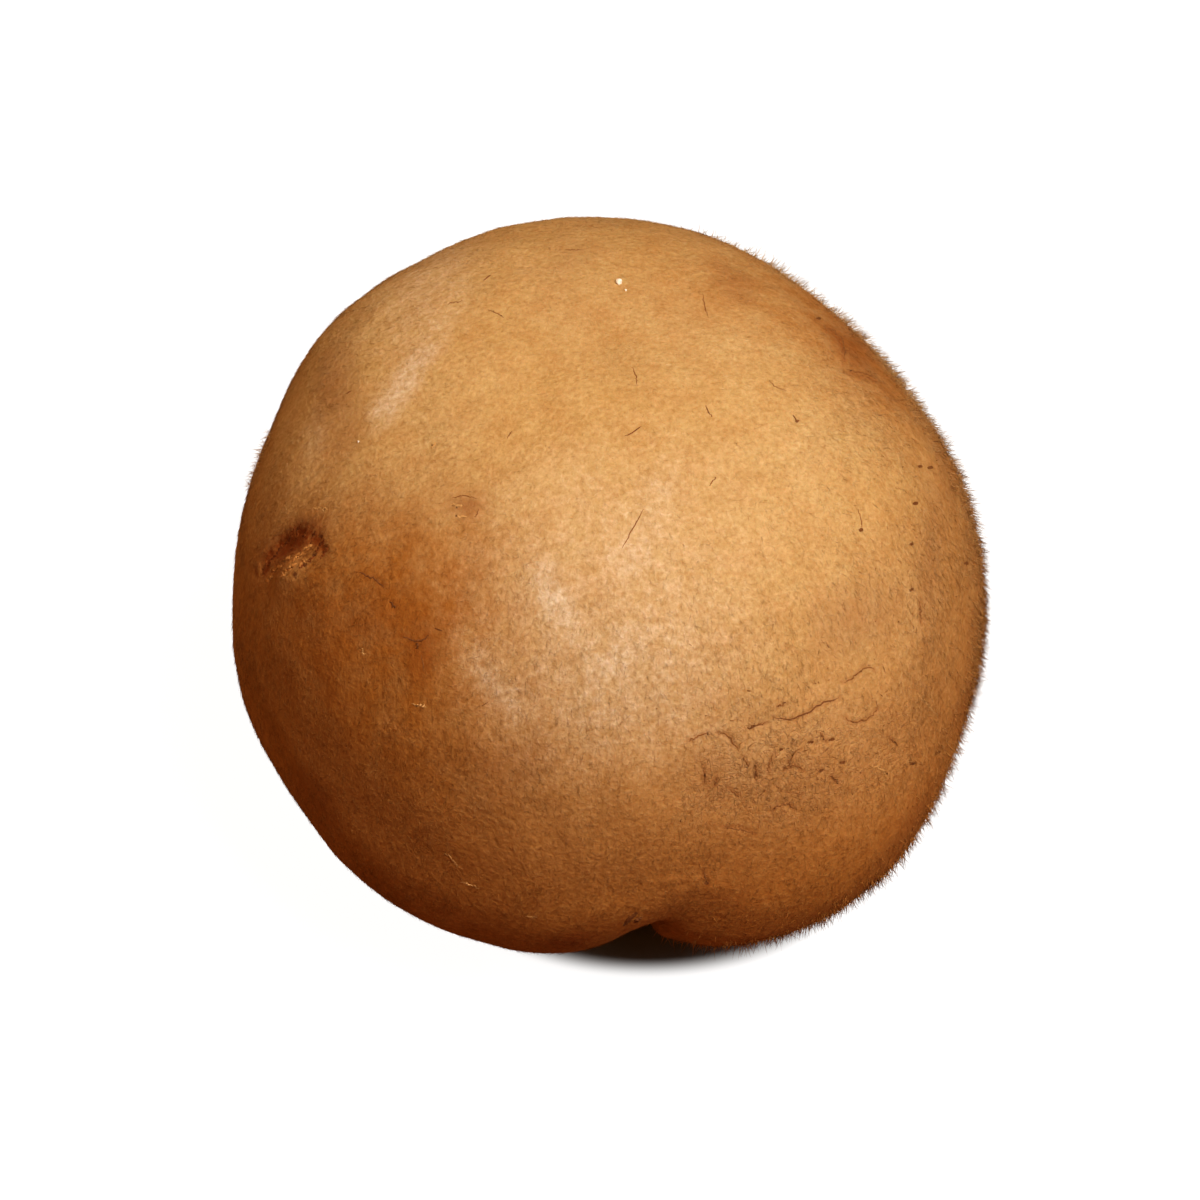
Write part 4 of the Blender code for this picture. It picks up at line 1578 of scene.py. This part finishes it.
def skin_colour(nodes, values, noises):
    """Tan on top and deeper towards the rim, partly as painted shade; with mottle, painted shade, bloom and
    painted sheen highlights, stains partly painted shade, marks, painted shade in the grooves, and the
    wrinkles.
    """
    # Deeper towards the rim: partly the skin's own colour, partly painted shade
    lower = nodes.span(values["down"], *RIM_COLOUR_FROM, smooth=True)
    base = nodes.mix(lower, TOP_COLOUR, RIM_COLOUR)
    deeper = nodes.mix(lower, TOP_PATCH_COLOUR, RIM_PATCH_COLOUR)
    # Painted shade, and the back's browner patches, broken up by the mottle
    browning_and_shade = nodes.math("MULTIPLY", values["painted_shade_and_browning"], nodes.span(noises["mottle"], *SHADE_AND_BROWNING_SPAN))
    # Pale bloom, partly painted sheen highlights, broken up by the patch noise
    pale_bloom_and_sheen = nodes.span(nodes.roughened(values["bloom_and_sheen"], noises["patch"], BLOOM_AND_SHEEN_BREAKING), *BLOOM_AND_SHEEN_SPAN)
    # Rust stains, partly painted shade, broken up by the speckle
    rust_and_shade = nodes.span(nodes.roughened(values["stain_and_shade"], noises["speckle"], STAIN_AND_SHADE_BREAKING), *STAIN_AND_SHADE_SPAN)
    crazed = nodes.math("MULTIPLY", values["flaked"], nodes.span(noises["fine_streak"], *CRAZED_SPAN))
    off_line = nodes.math("ABSOLUTE", nodes.math("SUBTRACT", noises["swirl"], NOISE_MIDDLE))
    thin = nodes.span(off_line, 0.0, WRINKLE_THIN, 1.0, 0.0)
    wrinkle = nodes.math("MULTIPLY", thin, nodes.span(values["flaked"], *WRINKLED_FROM))
    layers = (
        (nodes.span(noises["broad"], *DEEPER_SPAN), deeper),
        (nodes.span(noises["mottle"], *MOTTLE_SPAN), MOTTLE_COLOUR),
        (nodes.span(noises["patch"], *PATCH_SPAN), MOTTLE_COLOUR),
        (browning_and_shade, SHADE_AND_BROWN_COLOUR),
        (pale_bloom_and_sheen, BLOOM_AND_SHEEN_COLOUR),
        (rust_and_shade, RUST_AND_SHADE_COLOUR),
        (nodes.math("MULTIPLY", crazed, CRAZED_SHARE), RUST_AND_SHADE_COLOUR),
        (nodes.math("MULTIPLY", wrinkle, WRINKLE_SHARE), RUST_AND_SHADE_COLOUR),
        # Painted shade in the crack grooves and pits
        (nodes.span(values["groove"], *GROOVE_SPAN), RUST_AND_SHADE_COLOUR),
    )
    for share, colour in layers:
        base = nodes.mix(share, base, colour)
    return base, wrinkle


def skin_lightness(nodes, fields):
    """How light the skin is: streaks below the crown, then the noises and each hair's own tone."""
    streaks = [nodes.span(fields[name], *span) for name, span in STREAK_LIGHTS.items()]
    light = nodes.math("MULTIPLY", *streaks)
    below_crown = nodes.span(fields["down"], *STREAKED_FROM)
    light = nodes.math("MULTIPLY_ADD", nodes.math("SUBTRACT", light, 1.0), below_crown, 1.0)
    for name, span in SKIN_LIGHTS.items():
        light = nodes.math("MULTIPLY", light, nodes.span(fields[name], *span))
    return light


def skin_material():
    """Brown felted skin with streaks, mottle, bloom and stains, painted shade and painted sheen highlights.
    """
    nodes = Nodes(bpy.data.materials.new("cap_skin"))
    place = nodes.place()
    grain = nodes.attribute("grain", "Vector")
    values = {name: nodes.attribute(name) for name in SKIN_VALUES}
    noises = {name: nodes.noise(place, *noise) for name, noise in SKIN_NOISES.items()}
    for name, streak in STREAKS.items():
        noises[name] = streak_field(nodes, grain, *streak)
    base, wrinkle = skin_colour(nodes, values, noises)
    light = skin_lightness(nodes, {**values, **noises})
    ridge = nodes.math("MULTIPLY", wrinkle, -1.0)
    layers = [(noises[name], *depth) for name, depth in SKIN_BUMPS.items()]
    nodes.shade(
        Base_Color=nodes.warmly_scaled(base, light),
        Roughness=nodes.span(noises["mottle"], *SKIN_ROUGHNESS),
        Specular_IOR_Level=0.14,
        Sheen_Weight=0.04,
        Sheen_Roughness=0.45,
        Sheen_Tint=(1.0, 0.62, 0.28, 1.0),
        Subsurface_Weight=0.12,
        Subsurface_Radius=(1.0, 0.45, 0.2),
        Subsurface_Scale=0.0008,
        Normal=nodes.bumps(*layers, (ridge, *WRINKLE_BUMP)),
    )
    return nodes.owner


def streak_field(nodes, grain, width, length, shift):
    """Streaks that run down the cap: about width across and length long, in millimetres."""
    split = nodes.add("ShaderNodeSeparateXYZ")
    nodes.feed(split.inputs, grain)
    total = None
    for start, radius in STREAK_BANDS:
        drawn = nodes.vector("MULTIPLY_ADD", grain, (radius, radius, width / length), (shift, 0.0, radius))
        fibre = nodes.noise(drawn, width)
        if total is None:
            total = fibre
            continue
        share = nodes.span(split.outputs[2], start - STREAK_BLEND, start + STREAK_BLEND, smooth=True)
        total = nodes.blend(share, total, fibre)
    return total


def flesh_material():
    """Pale cottony flesh with fibres, browner at the edge of the cut."""
    nodes = Nodes(bpy.data.materials.new("pale_flesh"))
    place = nodes.place()
    mottle = nodes.noise(place, *FLESH_MOTTLE)
    cotton = nodes.noise(place, *FLESH_COTTON)
    drawn = nodes.vector("MULTIPLY_ADD", nodes.attribute("grain", "Vector"), FIBRE_STRETCH, (0.0, 0.0, 0.0))
    fibre = nodes.noise(drawn, FIBRE_SIZE)
    base = nodes.mix(nodes.span(mottle, *MIDDLE_SPAN), FLESH_COLOUR, FLESH_PATCH_COLOUR)
    base = nodes.mix(nodes.span(fibre, *FIBRE_SPAN), base, FIBRE_COLOUR)
    hurt = nodes.math("MULTIPLY", nodes.attribute("bruise"), nodes.span(mottle, *BRUISE_SPAN))
    colour = nodes.add("ShaderNodeVectorMath", operation="SCALE")
    sockets = [colour.inputs[name] for name in (0, "Scale")]
    nodes.feed(sockets, nodes.mix(hurt, base, BRUISE_COLOUR), nodes.span(cotton, *COTTON_LIGHT))
    nodes.shade(
        Base_Color=colour.outputs[0],
        Roughness=nodes.span(cotton, *FLESH_ROUGHNESS),
        Specular_IOR_Level=0.25,
        Sheen_Weight=0.15,
        Subsurface_Weight=0.2,
        Subsurface_Radius=(1.0, 0.7, 0.4),
        Subsurface_Scale=0.0012,
        Normal=nodes.bumps((fibre, *FIBRE_BUMP), (cotton, *COTTON_BUMP)),
    )
    return nodes.owner


def speck_material(name, dark, light, roughness):
    """A small mark's colour, varied by fine noise between a dark and a light one."""
    nodes = Nodes(bpy.data.materials.new(name))
    grit = nodes.noise(nodes.place(), GRIT_SIZE)
    rougher = (roughness - GRIT_ROUGHNESS, roughness + GRIT_ROUGHNESS)
    nodes.shade(
        Base_Color=nodes.mix(nodes.span(grit, *MIDDLE_SPAN), dark, light),
        Roughness=nodes.span(grit, *MIDDLE_SPAN, *rougher),
        Specular_IOR_Level=0.25,
        Normal=nodes.bumps((grit, *GRIT_BUMP)),
    )
    return nodes.owner


# The stage


def floor_material():
    """A pale floor that shines to the camera, with a painted contact shadow under the mushroom, and gives a
    little warm light back to the mushroom.
    """
    nodes = Nodes(bpy.data.materials.new("pale_floor"))
    to_camera = nodes.add("ShaderNodeLightPath").outputs["Is Camera Ray"]
    place = nodes.place()
    away = nodes.vector("LENGTH", place)
    # Painted contact shadow: dark in an oval before the stem, and softer round it
    oval = [(1.0 / reach, -middle / reach) for middle, reach in zip(FLOOR_SHADOW_MIDDLE, FLOOR_SHADOW_REACH)]
    scale, shift = zip(*oval, (0.0, 0.0))
    from_shadow = nodes.vector("LENGTH", nodes.vector("MULTIPLY_ADD", place, scale, shift))
    lit = nodes.span(from_shadow, *FLOOR_SHADOW_EDGE, smooth=True)
    shade = nodes.span(away, *FLOOR_SHADE_FROM, 1.0 - FLOOR_SHADE, 1.0, smooth=True)
    near_glow = nodes.math("MULTIPLY", nodes.math("MULTIPLY", lit, shade), FLOOR_GLOW)
    far_glow = nodes.span(away, *FAR_GLOW_FROM, 0.0, FAR_GLOW, smooth=True)
    nodes.shade(
        Base_Color=nodes.mix(to_camera, FLOOR_BOUNCE, FLOOR_SEEN),
        Roughness=0.9,
        Specular_IOR_Level=0.1,
        Emission_Color=WHITE,
        Emission_Strength=nodes.math("MULTIPLY", nodes.math("ADD", near_glow, far_glow), to_camera),
    )
    return nodes.owner


def build_stage():
    """A plain pale floor and a plain surround, white to the camera and a dim warm light to the rest."""
    bpy.ops.mesh.primitive_circle_add(vertices=FLOOR_SIDES, radius=FLOOR_RADIUS, fill_type="TRIFAN")
    floor = bpy.context.object
    floor.name = "floor"
    floor.data.materials.append(floor_material())

    world = bpy.data.worlds.new("room")
    bpy.context.scene.world = world
    room = Nodes(world)
    to_camera = room.add("ShaderNodeLightPath").outputs["Is Camera Ray"]
    colour = room.mix(to_camera, ROOM_COLOUR, WHITE)
    strength = room.span(to_camera, 0.0, 1.0, ROOM_STRENGTH, 1.0)
    room.feed(room.tree.nodes["Background"].inputs, colour, strength)


def add_light(name, direction, distance, width, power, colour):
    """A square soft light that faces the mushroom."""
    data = bpy.data.lights.new(name, "AREA")
    data.size = width
    data.energy = power
    data.color = colour
    light = bpy.data.objects.new(name, data)
    aim = Vector(direction).normalized()
    light.location = Vector(CAMERA_TARGET) + aim * distance
    light.rotation_euler = aim.to_track_quat("Z", "Y").to_euler()
    bpy.context.scene.collection.objects.link(light)


def add_camera():
    """The camera at the photograph's viewing angle, close on the mushroom."""
    data = bpy.data.cameras.new("camera")
    camera = bpy.data.objects.new("camera", data)
    bpy.context.scene.collection.objects.link(camera)
    bpy.context.scene.camera = camera
    half_width = FRAME_PIXELS * PHOTO_PIXEL / 2.0
    data.sensor_width = SENSOR_WIDTH
    data.lens = SENSOR_WIDTH / 2.0 * CAMERA_DISTANCE / half_width
    data.clip_start, data.clip_end = CLIP_RANGE
    turn = Matrix((RIGHT, UP, BACK)).transposed()
    camera.matrix_world = Matrix.Translation(CAMERA_SPOT) @ turn.to_4x4()


def set_view():
    """A plain view transform, so that the shadows keep their warm colour."""
    settings = bpy.context.scene.view_settings
    settings.view_transform = "Standard"
    settings.look = "None"
    settings.exposure = VIEW_EXPOSURE
    settings.gamma = VIEW_GAMMA


def build():
    """All the pieces of the mushroom."""
    skin = skin_material()
    specks = {name: speck_material(name, *values) for name, values in SPECKS.items()}
    sheet = cap_sheet()
    attributes = dress_cap(sheet)
    caster = Caster(cap_piece(sheet, attributes, skin))
    flesh_piece(flesh_material())
    felt_pieces(sheet, attributes, skin)
    fringe_piece(sheet, attributes, skin)
    for name, (lines, width, height, sink, colour, wander) in LAID_MARKS.items():
        laid_lines(name, caster, lines, width, height, sink, specks[colour], wander)
    crumb_piece(caster, specks["white_crumb"])
    loose_threads(sheet, specks["crack_brown"])
    flakes_piece(sheet, attributes["flaked"], specks["crack_brown"])
    edge_hairs(caster, specks["lifted_skin"])


build()
build_stage()
for name, values in LIGHTS.items():
    add_light(name, *values)
add_camera()
set_view()
